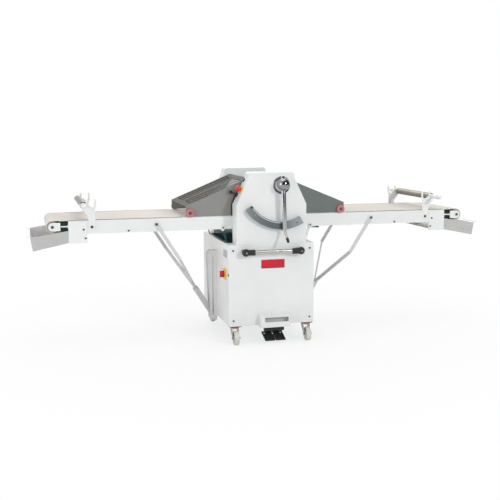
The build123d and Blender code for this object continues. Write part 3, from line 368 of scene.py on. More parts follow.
def between(tree, mask, low, high):
    """A number that runs from low to high with a mask around its middle values."""
    return spread(tree, mask, mask_low, mask_high, low, high)


def blend_colour(tree, mask, first, second):
    """A colour that runs from first to second with a mask. Each may be a colour or a socket."""
    node = tree.nodes.new("ShaderNodeMix")
    node.data_type = "RGBA"
    tree.links.new(mask, node.inputs["Factor"])
    for value, socket in ((first, node.inputs[6]), (second, node.inputs[7])):
        if isinstance(value, tuple):
            socket.default_value = (*value, 1)
        else:
            tree.links.new(value, socket)
    return node.outputs[2]


def shades(tree, mask, colour, darker, lighter):
    """A colour that runs from a darker to a lighter shade of itself around a mask's middle values."""
    low, high = (tuple(min(1, c * share) for c in colour) for share in (darker, lighter))
    return blend_colour(tree, between(tree, mask, 0, 1), low, high)


def rub_edges(tree, colour, share, bare, **values):
    """A colour that is rubbed towards another one at the edges."""
    edges = calc(tree, "MULTIPLY", place_group(tree, edge_wear, **values)["Mask"], share)
    return blend_colour(tree, edges, colour, bare)


def coated(name, colour, rough, depth=0.06, dirt=0.0):
    """Painted or powder coated sheet: peel, cloudiness, rubbed edges and some dirt near the floor."""
    made, tree, shader = new_material(name)
    skin = place_group(tree, coat_skin, Peel_Depth=depth)
    paint = shades(tree, skin["Cloud"], colour, 0.965, 1.02)
    if dirt:
        low_dirt = calc(tree, "MULTIPLY", place_group(tree, settled_dirt)["Mask"], dirt)
        paint = blend_colour(tree, low_dirt, paint, floor_dirt)
    feed(
        tree, shader, Base_Color=rub_edges(tree, paint, 0.55, bare_edge),
        Roughness=between(tree, skin["Cloud"], rough - 0.04, rough + 0.05), Normal=skin["Normal"])
    return made


def lined_metal(name, colour, rough, tightness, depth=0.15, metal=1.0):
    """Bare or pickled metal with the lines of brushing, grinding or turning, and faint smears."""
    made, tree, shader = new_material(name)
    brush = place_group(tree, brush_lines, Tightness=tightness, Depth=depth)
    feed(
        tree, shader, Base_Color=shades(tree, brush["Line"], colour, 0.9, 1.06), Metallic=metal,
        Roughness=between(tree, brush["Smear"], rough * 0.8, rough * 1.3), Normal=brush["Normal"])
    return made


def moulded(name, colour, rough, depth=0.2, scale=900.0):
    """Moulded plastic or rubber: pebble grain and worn, paler patches."""
    made, tree, shader = new_material(name)
    grain = place_group(tree, mould_grain, Grain_Depth=depth, Grain_Scale=scale)
    mass = shades(tree, grain["Wear"], colour, 0.9, 1.15)
    pale = tuple(c + (0.5 - c) * 0.25 for c in colour)
    feed(
        tree, shader, Base_Color=rub_edges(tree, mass, 0.6, pale, Width=0.001),
        Roughness=between(tree, grain["Wear"], rough - 0.06, rough + 0.08), Normal=grain["Normal"])
    return made


print("material helpers ready")

# %% [markdown]
# The cabinet, head, rails and trays' brackets are white powder coat, the crumb pan below the rolls is
# deep teal, and the guards and the scale are two greys. Polished parts keep a hint of smearing so
# that they don't look drawn. A line of the table holds a finish's family, its colour and roughness,
# and then that family's own values.

# %% Finishes of the solids
finishes = {}


def make_finishes(table):
    """Make every finish of a table."""
    for name, (family, *values) in table.items():
        finishes[name] = family(name, *values)


def set_mirror(names, level):
    """Set how much the surface of some finishes mirrors."""
    for name in names:
        shader = finishes[name].node_tree.nodes["Principled BSDF"]
        shader.inputs["Specular IOR Level"].default_value = level


make_finishes({
    "white_paint": (coated, (0.80, 0.81, 0.805), 0.36, 0.06, 0.35),
    "dark_paint": (coated, (0.085, 0.21, 0.26), 0.35, 0.08),
    "frame_paint": (coated, (0.3, 0.32, 0.33), 0.4, 0.1),
    "motor_paint": (coated, (0.06, 0.07, 0.09), 0.42, 0.12),
    "strut_paint": (coated, (0.62, 0.625, 0.62), 0.3, 0.05),
    "guard_grey": (coated, (0.25, 0.248, 0.238), 0.42, 0.08),
    "guard_top": (coated, (0.15, 0.147, 0.14), 0.7, 0.08),
    # Painted shade: a darker, bluer copy of the guard grey for the right guard.
    "guard_slate": (coated, (0.15, 0.168, 0.163), 0.42, 0.08),
    "black_paint": (coated, (0.012, 0.012, 0.013), 0.45, 0.12),
    # Painted shade: a darker copy of the teal for the left table stays, under the left table.
    "stay_paint": (coated, (0.03, 0.085, 0.105), 0.4, 0.08),
    "green_paint": (coated, (0.022, 0.05, 0.032), 0.45, 0.08),
    "aluminium": (lined_metal, (0.52, 0.52, 0.51), 0.28, (20.0, 1500.0, 1500.0)),
    "polished_steel": (lined_metal, (0.47, 0.475, 0.48), 0.09, (60.0, 60.0, 60.0), 0.01),
    # Painted shade: a darker copy of polished steel for the hub, standing in for its dark reflections.
    "hub_chrome": (lined_metal, (0.3, 0.305, 0.31), 0.09, (60.0, 60.0, 60.0), 0.01),
    "arm_steel": (lined_metal, (0.46, 0.465, 0.47), 0.26, (500.0, 500.0, 14.0), 0.08),
    "roll_chrome": (lined_metal, (0.78, 0.79, 0.8), 0.12, (300.0, 40.0, 300.0), 0.05),
    "roller_alloy": (lined_metal, (0.55, 0.55, 0.54), 0.3, (600.0, 30.0, 600.0)),
    "stainless": (lined_metal, (0.54, 0.535, 0.53), 0.42, (14.0, 500.0, 500.0), 0.12, 0.25),
    # Painted light: a bright steel for the trays' insides, standing in for the white floor they reflect.
    "bright_stainless": (lined_metal, (0.88, 0.88, 0.875), 0.3, (14.0, 500.0, 500.0), 0.1, 0.2),
    "zinc": (lined_metal, (0.4, 0.375, 0.33), 0.36, (120.0, 120.0, 120.0), 0.12),
    "black_plastic": (moulded, (0.014, 0.014, 0.016), 0.42),
    "yellow_plastic": (moulded, (0.82, 0.52, 0.03), 0.34, 0.08),
    "green_plastic": (moulded, (0.02, 0.2, 0.1), 0.3, 0.05),
    "red_plastic": (moulded, (0.58, 0.02, 0.025), 0.28, 0.05),
    "roller_red": (moulded, (0.5, 0.17, 0.18), 0.5, 0.25),
    "wheel_nylon": (moulded, (0.62, 0.61, 0.57), 0.45, 0.12),
})
set_mirror(("guard_top", "stay_paint", "green_paint"), 0.12)
print("finishes", len(finishes))

# %% [markdown]
# The belt is woven conveyor cloth. Two crossed sets of bands make over-and-under threads about two
# millimetres wide, and flour lightens it in patches. The threads follow the belt's own map, which
# counts metres of cloth.

# %% Belt cloth
finishes["belt_cloth"], tree, shader = new_material("belt_cloth")
laid = tree.nodes.new("ShaderNodeUVMap")
laid.uv_map = "cloth"
threads = []
for direction in ("X", "Y"):
    band = add_node(tree, "TexWave", Vector=laid.outputs["UV"], Scale=160, Distortion=0.3)
    band.bands_direction = direction
    threads.append(band.outputs["Fac"])
weave = calc(tree, "MULTIPLY", *threads)
cloth = blend_colour(tree, weave, (0.72, 0.66, 0.585), (0.79, 0.74, 0.67))
flour = between(tree, noise(tree, own_place(tree), 5, detail=6), 0, 0.3)
feed(
    tree, shader, Base_Color=blend_colour(tree, flour, cloth, (0.84, 0.8, 0.75)), Roughness=0.85,
    Sheen_Weight=0.15, Normal=bump(tree, weave, strength=0.35, distance=0.0004))
print("belt threads", len(threads))

# %% [markdown]
# A rolling pin is one solid here: a turned grey body with a white plastic handle at each end.
# A mask from the distance along Y changes both the colour and the metal at the body's ends.

# %% Rolling pin finish
pin_low, pin_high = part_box("left_rolling_pin")
pin_middle_y = (pin_low.y + pin_high.y) / 2
pin_body_half = 0.2905
finishes["pin_grey"], tree, shader = new_material("pin_grey")
distance = calc(tree, "ABSOLUTE", calc(tree, "SUBTRACT", own_axis(tree, "Y"), pin_middle_y))
on_handle = calc(tree, "GREATER_THAN", distance, pin_body_half)
turning = place_group(tree, brush_lines, Tightness=(200.0, 1200.0, 200.0), Depth=0.1)
line_tone = between(tree, turning["Line"], 0, 1)
body_tone = blend_colour(tree, line_tone, (0.2, 0.185, 0.16), (0.28, 0.26, 0.23))
feed(
    tree, shader, Base_Color=blend_colour(tree, on_handle, body_tone, (0.8, 0.79, 0.76)),
    Metallic=calc(tree, "SUBTRACT", 1, on_handle),
    Roughness=between(tree, turning["Smear"], 0.32, 0.48), Normal=turning["Normal"])
print("pin middle", round(pin_middle_y, 4))

# %% [markdown]
# The scale is satin sheet. Its tone changes along the arc, dark below the lever and lighter towards
# both ends, and that change is a painted reflection: the distance along X, bent by a curve, mixes a
# light grey into the dark one.

# %% Scale finish
scale_low, scale_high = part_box("scale_arc")
finishes["scale_grey"], tree, shader = new_material("scale_sheen")
along_scale = spread(tree, own_axis(tree, "X"), scale_low.x, scale_high.x)
# Painted reflection: a curve along the arc lightens both ends of the scale.
towards_end = add_node(tree, "FloatCurve", Value=along_scale)
curve = towards_end.mapping.curves[0]
curve.points[0].location = (0, 0.55)
curve.points[1].location = (1, 0.9)
for along, tone in ((0.3, 0.1), (0.55, 0), (0.72, 0.45)):
    curve.points.new(along, tone)
towards_end.mapping.update()
satin = place_group(tree, coat_skin, Peel_Depth=0.05)
feed(
    tree, shader,
    Base_Color=blend_colour(tree, towards_end.outputs["Value"], (0.1, 0.122, 0.13), (0.36, 0.37, 0.365)),
    Roughness=between(tree, satin["Cloud"], 0.26, 0.35), Normal=satin["Normal"])
print("scale from", round(scale_low.x, 3), "to", round(scale_high.x, 3))

# %% [markdown]
# Every solid takes the finish of its slot in the record. The solids themselves are never moved or
# reshaped. Some faces differ from the rest of their solid: the guards' slotted tops are darker than
# their sides, the right guard takes a darker, bluer copy of the guard grey as painted shade, the trays'
# insides are painted light in a bright steel, the lever's hub is a darker copy of polished steel as
# painted shade on its reflections, and the table stays above the lid are white on the right and a
# darker copy of the teal on the left, as painted shade under the left table.

# %% Dress the solids
guard_slope = 0.6
tray_lip = 0.02
steep, slight = 0.5, 0.1
stay_x = 0.25
lid_height = 0.711
hub_reach = 0.09
for part in frame["record"]["subparts"]:
    solid = nodes[part["node"]]
    solid.data.materials.clear()
    solid.data.materials.append(finishes[part["material_slot"]])


def refinish(node, finish, test):
    """Give the faces of a solid that pass a test another finish."""
    mesh = nodes[node].data
    mesh.materials.append(finishes[finish])
    for face in mesh.polygons:
        if test(face.center, face.normal):
            face.material_index = len(mesh.materials) - 1


# Painted shade: the right guard takes the darker, bluer copy of the guard grey.
nodes["right_guard"].data.materials[0] = finishes["guard_slate"]
for hand, side in hands:
    tray_low, tray_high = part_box(f"{hand}_tray")
    middle = (tray_low + tray_high) / 2
    lip_foot = tray_high.z - tray_lip
    refinish(f"{hand}_guard", "guard_top", lambda place, way: way.z > guard_slope)
    # Painted light: the trays' inner walls and floor take the bright steel.
    refinish(f"{hand}_tray", "bright_stainless", lambda place, way: place.z < lip_foot and (
        way.z > steep or way.x * side < -steep or way.y * (place.y - middle.y) < -slight))
refinish("base_frame", "white_paint", lambda place, way: place.x > stay_x and place.z > lid_height)
# Painted shade: the left stays take the darker teal, the right ones stay white.
refinish("base_frame", "stay_paint", lambda place, way: place.x < -stay_x and place.z > lid_height)
hub_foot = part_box("gap_lever")[1].z - hub_reach
# Painted shade: the hub takes the darker copy of polished steel.
refinish("gap_lever", "hub_chrome", lambda place, way: place.z > hub_foot)

# %% [markdown]
# From here on, small pieces are modelled one by one. Places are in millimetres, measured from the
# cabinet's middle, because that is how a fitter would measure them. One helper turns them into the
# frame's metres, and one gives the matrix that seats a piece, modelled upright, on any face.

# %% Places on the machine
cabinet_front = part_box("front_panel")[0].y
cabinet_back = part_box("rear_panel")[1].y
cabinet_y = (cabinet_front + cabinet_back) / 2


def at(x, y, z):
    """A point of the machine in millimetres, Y from the cabinet's middle, in the frame's metres."""
    return Vector((x / 1000, y / 1000 + cabinet_y, z / 1000))


def facing(place, outward, roll=0):
    """The matrix that puts a piece modelled along +Z at a place, looking outward."""
    turn = Vector(outward).to_track_quat("Z", "Y").to_matrix().to_4x4()
    return Matrix.Translation(place) @ turn @ Matrix.Rotation(math.radians(roll), 4, "Z")


print("cabinet middle", round(cabinet_y, 4))

# %% [markdown]
# Operators act on whatever is selected, so every step starts with clean hands: nothing selected but
# the one piece. Faces and edges are chosen by a test on their place, as one would click them.

# %% Helpers for selecting
def clear_hands():
    """Leave edit mode and deselect everything."""
    if bpy.context.object and bpy.context.object.mode == "EDIT":
        bpy.ops.object.mode_set(mode="OBJECT")
    bpy.ops.object.select_all(action="DESELECT")


def take(piece):
    """Make a piece the only one selected."""
    clear_hands()
    piece.select_set(True)
    bpy.context.view_layer.objects.active = piece


def pick(piece, kind, test):
    """Select the faces or edges of a piece that pass a test, and stay in edit mode."""
    take(piece)
    bpy.ops.object.mode_set(mode="EDIT")
    bpy.ops.mesh.select_mode(type=kind)
    bpy.ops.mesh.select_all(action="DESELECT")
    bpy.ops.object.mode_set(mode="OBJECT")
    mesh = piece.data
    if kind == "FACE":
        for face in mesh.polygons:
            face.select = test(face.center, face.normal)
    else:
        for edge in mesh.edges:
            edge.select = test(*(mesh.vertices[i].co for i in edge.vertices))
    bpy.ops.object.mode_set(mode="EDIT")


def pick_side(piece, way):
    """Select the faces of a piece that look one way, and stay in edit mode."""
    straight = 0.9
    pick(piece, "FACE", lambda place, normal: normal.dot(Vector(way)) > straight)


def place_in_mesh():
    """Move the place, turn and size of what is selected into its mesh."""
    bpy.ops.object.transform_apply(location=True, rotation=True, scale=True)


print("selecting helpers ready")

# %% [markdown]
# Most pieces start as a block, a drum or a turned shape, and each start is a helper. A turned shape
# could be spun from a profile, but a circle that is drawn out ring by ring has no seam to merge.

# %% Helpers for shaping
def block(size, middle=(0, 0, 0)):
    """A plain block of a size with its middle at a place."""
    clear_hands()
    bpy.ops.mesh.primitive_cube_add(size=1, location=middle)
    bpy.context.object.scale = size
    place_in_mesh()
    return bpy.context.object


def drum(sides, radius, tall, foot=0):
    """A plain cylinder on the Z axis that stands on a height."""
    clear_hands()
    middle = (0, 0, foot + tall / 2)
    bpy.ops.mesh.primitive_cylinder_add(vertices=sides, radius=radius, depth=tall, location=middle)
    place_in_mesh()
    return bpy.context.object


def draw_out(move):
    """Extrude what is selected by a move."""
    bpy.ops.mesh.extrude_region_move(TRANSFORM_OT_translate={"value": move})


def ease(piece, test, width, segments):
    """Bevel the edges of a piece that pass a test."""
    pick(piece, "EDGE", test)
    bpy.ops.mesh.bevel(offset=width, segments=segments)
    bpy.ops.object.mode_set(mode="OBJECT")


def face_outwards():
    """Turn all faces of the piece in edit mode outwards."""
    bpy.ops.mesh.select_all(action="SELECT")
    bpy.ops.mesh.normals_make_consistent(inside=False)


def merge_seams(gap):
    """Merge the points of the piece in edit mode that lie closer than a gap."""
    bpy.ops.mesh.select_all(action="SELECT")
    bpy.ops.mesh.remove_doubles(threshold=gap)


def turned(rings, sides=32, ends="filled"):
    """A turned shape on the Z axis. A ring is a radius and a height; ends are filled, joined or open."""
    clear_hands()
    radius, height = rings[0]
    middle = (0, 0, height)
    bpy.ops.mesh.primitive_circle_add(vertices=sides, radius=radius, fill_type="NOTHING", location=middle)
    piece = bpy.context.object
    place_in_mesh()
    bpy.ops.object.mode_set(mode="EDIT")
    bpy.ops.mesh.select_mode(type="EDGE")
    bpy.ops.mesh.select_all(action="SELECT")
    for next_radius, next_height in rings[1:]:
        draw_out((0, 0, next_height - height))
        share = next_radius / radius
        bpy.ops.transform.resize(value=(share, share, 1), center_override=(0, 0, next_height))
        radius, height = next_radius, next_height
    bpy.ops.mesh.select_all(action="DESELECT")
    bpy.ops.mesh.select_non_manifold()
    if ends == "joined":
        bpy.ops.mesh.bridge_edge_loops()
    elif ends == "filled":
        bpy.ops.mesh.fill_holes(sides=0)
    face_outwards()
    bpy.ops.object.mode_set(mode="OBJECT")
    return piece


print("shaping helpers ready")

# %% [markdown]
# When a piece is done, its place goes into its mesh, its edges are smoothed by angle, and it rides on
# a body. What repeats is modelled once. Its copies are put in their seats and joined, and the first
# one is removed.

# %% Helpers for fitting
def settle(piece, name, body, finish, angle=40):
    """Apply a piece's place, smooth it, name it, finish it and let it ride on a body, if one is named."""
    take(piece)
    place_in_mesh()
    bpy.ops.object.shade_smooth_by_angle(angle=math.radians(angle))
    piece.name = name
    piece.data.name = name
    piece.data.materials.clear()
    piece.data.materials.append(finishes[finish])
    if body:
        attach(piece, body)
    return piece


def fit_copies(template, name, body, finish, seats):
    """Copy a modelled piece to each seat, join the copies and settle them as one."""
    copies = []
    for seat in seats:
        take(template)
        bpy.ops.object.duplicate()
        copies.append(bpy.context.object)
        copies[-1].matrix_world = seat
    clear_hands()
    for copy in copies:
        copy.select_set(True)
    bpy.context.view_layer.objects.active = copies[0]
    place_in_mesh()
    if len(copies) > 1:
        bpy.ops.object.join()
    return settle(copies[0], name, body, finish)


def fit_turned(rings, sides, seat, name, body, finish, ends="filled"):
    """Turn a shape, put it in its seat and settle it."""
    piece = turned(rings, sides, ends)
    piece.matrix_world = seat
    return settle(piece, name, body, finish)


def put_away(template):
    """Remove a template once its copies are fitted."""
    clear_hands()
    bpy.data.objects.remove(template)


print("fitting helpers ready")

# %% [markdown]
# Fasteners, rubber and the coloured plates have finishes that no solid needs, so they are made now.
# Black-oxide steel is dark and a little rough; rubber is duller than moulded plastic.

# %% Finishes of the small pieces
make_finishes({
    "dark_steel": (lined_metal, (0.11, 0.11, 0.115), 0.4, (90.0, 90.0, 90.0), 0.08),
    "rubber": (moulded, (0.018, 0.018, 0.02), 0.62, 0.35, 700.0),
    "plate_red": (coated, (0.6, 0.025, 0.05), 0.32, 0.04),
    "plate_border": (coated, (0.2, 0.012, 0.03), 0.35, 0.04),
    "plate_grey": (lined_metal, (0.5, 0.5, 0.53), 0.38, (12.0, 700.0, 700.0), 0.1),
    "dust_red": (moulded, (0.4, 0.03, 0.045), 0.45, 0.12),
})
set_mirror(("plate_red",), 0.15)
print("finishes", len(finishes))

# %% [markdown]
# A pan-head screw starts as a short drum. An inset with some depth domes its head,
# a second inset marks the socket, and drawing that face down cuts the recess.
# The screws of both cabinet panels, the scale and the push handle are copies of one screw.

# %% Pan-head screws
panel_y, scale_y = 430, 465
handle_x, handle_z, knob_tip_y = 200, 660, 499.4
pan_screw = drum(20, 0.0065, 0.003)
pick_side(pan_screw, (0, 0, 1))
bpy.ops.mesh.inset(thickness=0.0014, depth=0.0011)
bpy.ops.mesh.inset(thickness=0.0022)
draw_out((0, 0, -0.002))
bpy.ops.object.mode_set(mode="OBJECT")
corners = [(x, z) for x in (-280, 280) for z in (172, 670)]
screw_rows = (
    ("front_panel_screws", "dark_steel", "zinc", -1, panel_y, corners),
    ("rear_panel_screws", "dark_steel", "zinc", 1, panel_y, corners),
    ("scale_screws", "polished_steel", "polished_steel", -1, scale_y, ((-130, 923), (175, 856))),
    ("handle_screws", "zinc", "zinc", -1, knob_tip_y, ((-handle_x, handle_z), (handle_x, handle_z))),
)
for name, finish, slot, way, depth, places in screw_rows:
    seats = [facing(at(x, way * depth, z), (0, way, 0)) for x, z in places]
    fit_copies(pan_screw, name, "base", finish, seats)
put_away(pan_screw)
print("screws", sum(len(row[-1]) for row in screw_rows))

# %% [markdown]
# A hex bolt is a six-sided drum with its top edge bevelled, on a round washer. The same bolt in two
# sizes holds the struts, the pin holders, the end plates, the belt ends and the guard rollers.

# %% Hex bolts of the tables
def hex_bolt(flats, tall):
    """A hex head on a washer, seated on Z = 0."""
    washer_r, washer_tall = flats * 0.74, tall * 0.22
    head_r, head_foot = flats * 0.577, tall * 0.2
    washer = drum(28, washer_r, washer_tall)
    ease(washer, lambda a, b: min(a.z, b.z) > head_foot, tall * 0.06, 2)
    head = drum(6, head_r, tall - head_foot, head_foot)
    ease(head, lambda a, b: min(a.z, b.z) > tall * 0.9, flats * 0.08, 2)
    take(head)
    washer.select_set(True)
    bpy.ops.object.join()
    return head


small_bolt = hex_bolt(0.009, 0.005)
large_bolt = hex_bolt(0.013, 0.007)
small_places = ((1287, 308.5, 840), (1275, 308.5, 780), (984, 306, 822), (323, 314.5, 822))
large_places = ((793, 320, 860), (1231, 309, 856), (1492, 309, 862))
guard_places = ((556, 319.5, 929.3),)
for hand, side in hands:
    for bolt, name, body, places, roll in (
        (small_bolt, "table_small_bolts", "table", small_places, 15),
        (large_bolt, "table_large_bolts", "table", large_places, 8),
        (large_bolt, "guard_bolts", "guard", guard_places, 0),
    ):
        seats = [
            facing(at(side * x, front * y, z), (0, front, 0), roll)
            for front in both
            for x, y, z in places
        ]
        fit_copies(bolt, f"{hand}_{name}", f"{hand}_{body}", "dark_steel", seats)
put_away(large_bolt)
print("table bolts", 4 * (len(small_places) + len(large_places) + len(guard_places)))

# %% [markdown]
# The casters take the small bolt too: four through each top plate, and one at each end of the wheel's
# axle. The wheel trails behind its swivel, so the axle's seats are counted from there.

# %% Hex bolts of the casters
caster_x, caster_y, caster_trail = 264, 390, 45
caster_plate_z, axle_z = 128, 50
bolt_dx, bolt_dy = 37, 28
axle_end = 27
casters = [
    (f"{y_name}_{x_name}", side * caster_x, front * caster_y)
    for front, y_name in ((-1, "front"), (1, "rear"))
    for x_name, side in hands
]


def beside_wheel(x, y, out):
    """Seats on both sides of a caster's wheel, some millimetres out from its middle."""
    return [facing(at(x + end * out, y - caster_trail, axle_z), (end, 0, 0)) for end in both]


plate_seats = [
    facing(at(x + dx, y + dy, caster_plate_z), (0, 0, -1))
    for x in (-caster_x, caster_x)
    for y in (-caster_y, caster_y)
    for dx in (-bolt_dx, bolt_dx)
    for dy in (-bolt_dy, bolt_dy)
]
fit_copies(small_bolt, "caster_plate_bolts", "base", "zinc", plate_seats)
for caster, x, y in casters:
    axle_seats = beside_wheel(x, y, axle_end)
    fit_copies(small_bolt, f"{caster}_axle_bolts", f"{caster}_swivel", "zinc", axle_seats)
put_away(small_bolt)
print("caster bolts", len(plate_seats) + 2 * len(casters))

# %% [markdown]
# A bare red plate sits below the handle. It is a thin block with rounded corners.
# An inset marks the border, and the border takes a darker red.
# The small grey plate on the left side is made in the same way.

# %% Bare plates
border_wide = 0.003
border_step = 0.0006


def bare_plate(wide, tall, thick):
    """A thin plate standing in the XZ plane, its corners rounded and its border inset on the -Y side."""
    plate = block((wide, thick, tall))
    ease(plate, lambda a, b: abs(a.y - b.y) > thick / 2, 0.005, 4)
    pick_side(plate, (0, -1, 0))
    bpy.ops.mesh.inset(thickness=border_wide)
    bpy.ops.mesh.inset(thickness=border_step, depth=-0.0005)
    bpy.ops.object.mode_set(mode="OBJECT")
    return plate


red_plate = bare_plate(0.17, 0.061, 0.0024)
red_plate.location = at(8, -431.2, 567.5)
settle(red_plate, "red_plate", "base", "plate_red", angle=30)
red_plate.data.materials.append(finishes["plate_border"])
plate_low, plate_high = (Vector(c) for c in (red_plate.bound_box[0], red_plate.bound_box[6]))
for face in red_plate.data.polygons:
    from_low, from_high = face.center - plate_low, plate_high - face.center
    from_edge = min(from_low.x, from_high.x, from_low.z, from_high.z)
    face.material_index = int(from_edge < border_wide + border_step)
grey_plate = bare_plate(0.108, 0.052, 0.0016)
to_the_left = Matrix.Rotation(math.radians(-90), 4, "Z")
grey_plate.matrix_world = Matrix.Translation(at(-311.8, -322, 638)) @ to_the_left
settle(grey_plate, "grey_plate", "base", "plate_grey", angle=30)
print("plates", red_plate.name, grey_plate.name)

# %% [markdown]
# The push handle's brackets end in round moulded knobs. A knob is a ball, turned ring by ring from
# one pole to the other and flattened a little, and copied to both brackets, whose screws sit on it.

# %% Knobs of the push handle
knob_r = 0.027
knob_y = 480
knob_flat = Matrix.Diagonal((1, 0.74, 1, 1))
latitudes = [math.radians(10 * step) for step in range(-8, 9)]
knob = turned([(knob_r * math.cos(a), knob_r * math.sin(a)) for a in latitudes])
knob_seats = [Matrix.Translation(at(end * handle_x, -knob_y, handle_z)) @ knob_flat for end in both]
fit_copies(knob, "handle_knobs", "base", "black_plastic", knob_seats)
put_away(knob)
print("handle knobs", len(knob_seats))

# %% [markdown]
# The cabinet door's lock is a small black barrel in the left edge of the front panel:
# a turned shape whose last rings go back in and make the key hole.

# %% Door lock
lock_rings = ((0.0085, 0), (0.0085, 0.003), (0.0072, 0.0042), (0.0045, 0.0042), (0.0045, 0.0025))
lock_seat = facing(at(-311, -420, 497), (-1, 0, 0))
lock = fit_turned(lock_rings, 24, lock_seat, "door_lock", "base", "black_plastic")
print("lock", len(lock.data.polygons), "faces")

# %% [markdown]
# Each belt is a cut and spliced loop of cloth that runs round two rollers, so it replaces the solids'
# stiff loop. The weave follows the cloth and not the room: a UV map counts metres along the loop and
# across it, and a helper finds how far along the loop a point of the belt lies.

# %% Measures of the belts
belt_half = 0.291
belt_thick = 0.002
belt_sag = 0.004
wrap_radius = 0.0405
wrap_steps = 14
return_steps = 24
splice_gap = 0.0002
roller_height = 0.862
drive_x, end_x = 0.105, 1.492
belt_run = end_x - drive_x


def wrap(side, roller_x):
    """Spin the selected edge half a turn round a roller."""
    middle = (side * roller_x, cabinet_y, roller_height)
    bpy.ops.mesh.spin(steps=wrap_steps, angle=-side * math.pi, center=middle, axis=(0, 1, 0))


def along_loop(place, middle, side):
    """Metres along the loop for a point of a face whose middle decides the run that it is on."""
    reach = side * place.x
    up = place.z - roller_height
    if side * middle.x > end_x:
        return belt_run + wrap_radius * math.atan2(reach - end_x, up)
    if side * middle.x < drive_x:
        return 2 * belt_run + math.pi * wrap_radius + wrap_radius * math.atan2(drive_x - reach, -up)
    if middle.z > roller_height:
        return reach - drive_x
    return belt_run + math.pi * wrap_radius + end_x - reach


# %% [markdown]
# A plane gives the upper run. Spinning its end edge half a turn wraps it round the end roller, an
# extrusion brings it back underneath, and a second spin closes it round the drive roller. The lower
# run carries no load, so it sags a little. Solidify gives the cloth its thickness.

# %% Belts
for hand, side in hands:
    clear_hands()
    belt_middle = (side * (drive_x + end_x) / 2, cabinet_y, roller_height + wrap_radius)
    bpy.ops.mesh.primitive_plane_add(size=1, location=belt_middle)
    belt = bpy.context.object
    belt.scale = (belt_run, 2 * belt_half, 1)
    place_in_mesh()
    pick(belt, "EDGE", lambda a, b: min(side * a.x, side * b.x) > end_x - belt_thick / 2)
    wrap(side, end_x)
    for step in range(return_steps):
        draw_out((-side * belt_run / return_steps, 0, 0))
    wrap(side, drive_x)
    merge_seams(splice_gap)
    face_outwards()
    bpy.ops.object.mode_set(mode="OBJECT")
    for point in belt.data.vertices:
        share = (side * point.co.x - drive_x) / belt_run
        if point.co.z < roller_height and 0 < share < 1:
            point.co.z -= belt_sag * math.sin(math.pi * share)
    cloth_map = belt.data.uv_layers.new(name="cloth")
    for face in belt.data.polygons:
        for corner in face.loop_indices:
            place = belt.data.vertices[belt.data.loops[corner].vertex_index].co
            from_edge = place.y - cabinet_y + belt_half
            cloth_map.data[corner].uv = (along_loop(place, face.center, side), from_edge)
    wall = belt.modifiers.new("cloth_thickness", "SOLIDIFY")
    wall.thickness = belt_thick
    wall.offset = 0
    take(belt)
    bpy.ops.object.modifier_apply(modifier=wall.name)
    settle(belt, f"{hand}_belt_cloth", f"{hand}_table", "belt_cloth")
    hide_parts(f"{hand}_belt")
    print(belt.name, len(belt.data.polygons), "faces")

# %% [markdown]
# Along both edges of each belt, from the guard outwards, a black rubber strip on the rail is painted
# shadow: it stands for the dark shadow gap between the belt's edge and the rail. One strip is a long
# block with its upper edges bevelled, copied to all four edges.

# %% Strips beside the belts
strip_x, strip_y, strip_z = 995, 293.4, 902.2
# Painted shadow: a black strip where the belt's edge meets the rail.
strip = block((0.78, 0.0022, 0.0044))
ease(strip, lambda a, b: min(a.z, b.z) > 0.002 and abs(a.x - b.x) > 0.5, 0.0008, 3)
for hand, side in hands:
    seats = [Matrix.Translation(at(side * strip_x, front * strip_y, strip_z)) for front in both]
    fit_copies(strip, f"{hand}_belt_strips", f"{hand}_table", "rubber", seats)
put_away(strip)
print("belt strips", len(hands) * len(both))

# %% [markdown]
# Between the end of the bed and the end roller a dark green channel closes the table, inside the belt.
# Its near-black green is partly painted shade, for the shade between the belt's two runs. It is a
# block whose outer face is inset and drawn in, so that it is open towards the roller.

# %% End channels of the tables
channel_x = 1418
for hand, side in hands:
    channel = block((0.054, 0.568, 0.056), at(side * channel_x, 0, roller_height * 1000))
    pick_side(channel, (side, 0, 0))
    bpy.ops.mesh.inset(thickness=0.003)
    draw_out((-side * 0.05, 0, 0))
    ease(channel, lambda a, b: abs(a.y - b.y) > 0.5, 0.0012, 2)
    settle(channel, f"{hand}_end_channel", f"{hand}_table", "green_paint")
print("end channels", [round(v, 3) for v in channel.dimensions])

# %% [markdown]
# Three controls sit on the head's slanted left face. The start button has a black bezel, a ring drawn
# out of a circle. The joystick's rubber boot is a bellows: rings of changing radius, closed into a
# wall by Solidify. It rides on no body and stays where it is placed.

# %% Bezel and boot on the slanted face
shoulder_x, shoulder_z = 254, 985
crown_x, crown_z = 166, 1170
slant = math.atan2(shoulder_x - crown_x, crown_z - shoulder_z)
slant_out = Vector((-math.cos(slant), 0, math.sin(slant)))


def on_slant(height, depth, out=0):
    """A point on the slanted face at a height and depth, some millimetres outside it."""
    foot = at((height - shoulder_z) * math.tan(slant) - shoulder_x, depth, height)
    return foot + slant_out * out / 1000


bezel_rings = ((0.0116, 0), (0.0145, 0), (0.0145, 0.0032), (0.0132, 0.0048), (0.0116, 0.0048))
bezel_seat = facing(on_slant(1153.35, -332), slant_out)
bezel = fit_turned(
    bezel_rings, 40, bezel_seat, "start_bezel", "base", "black_plastic", "joined")

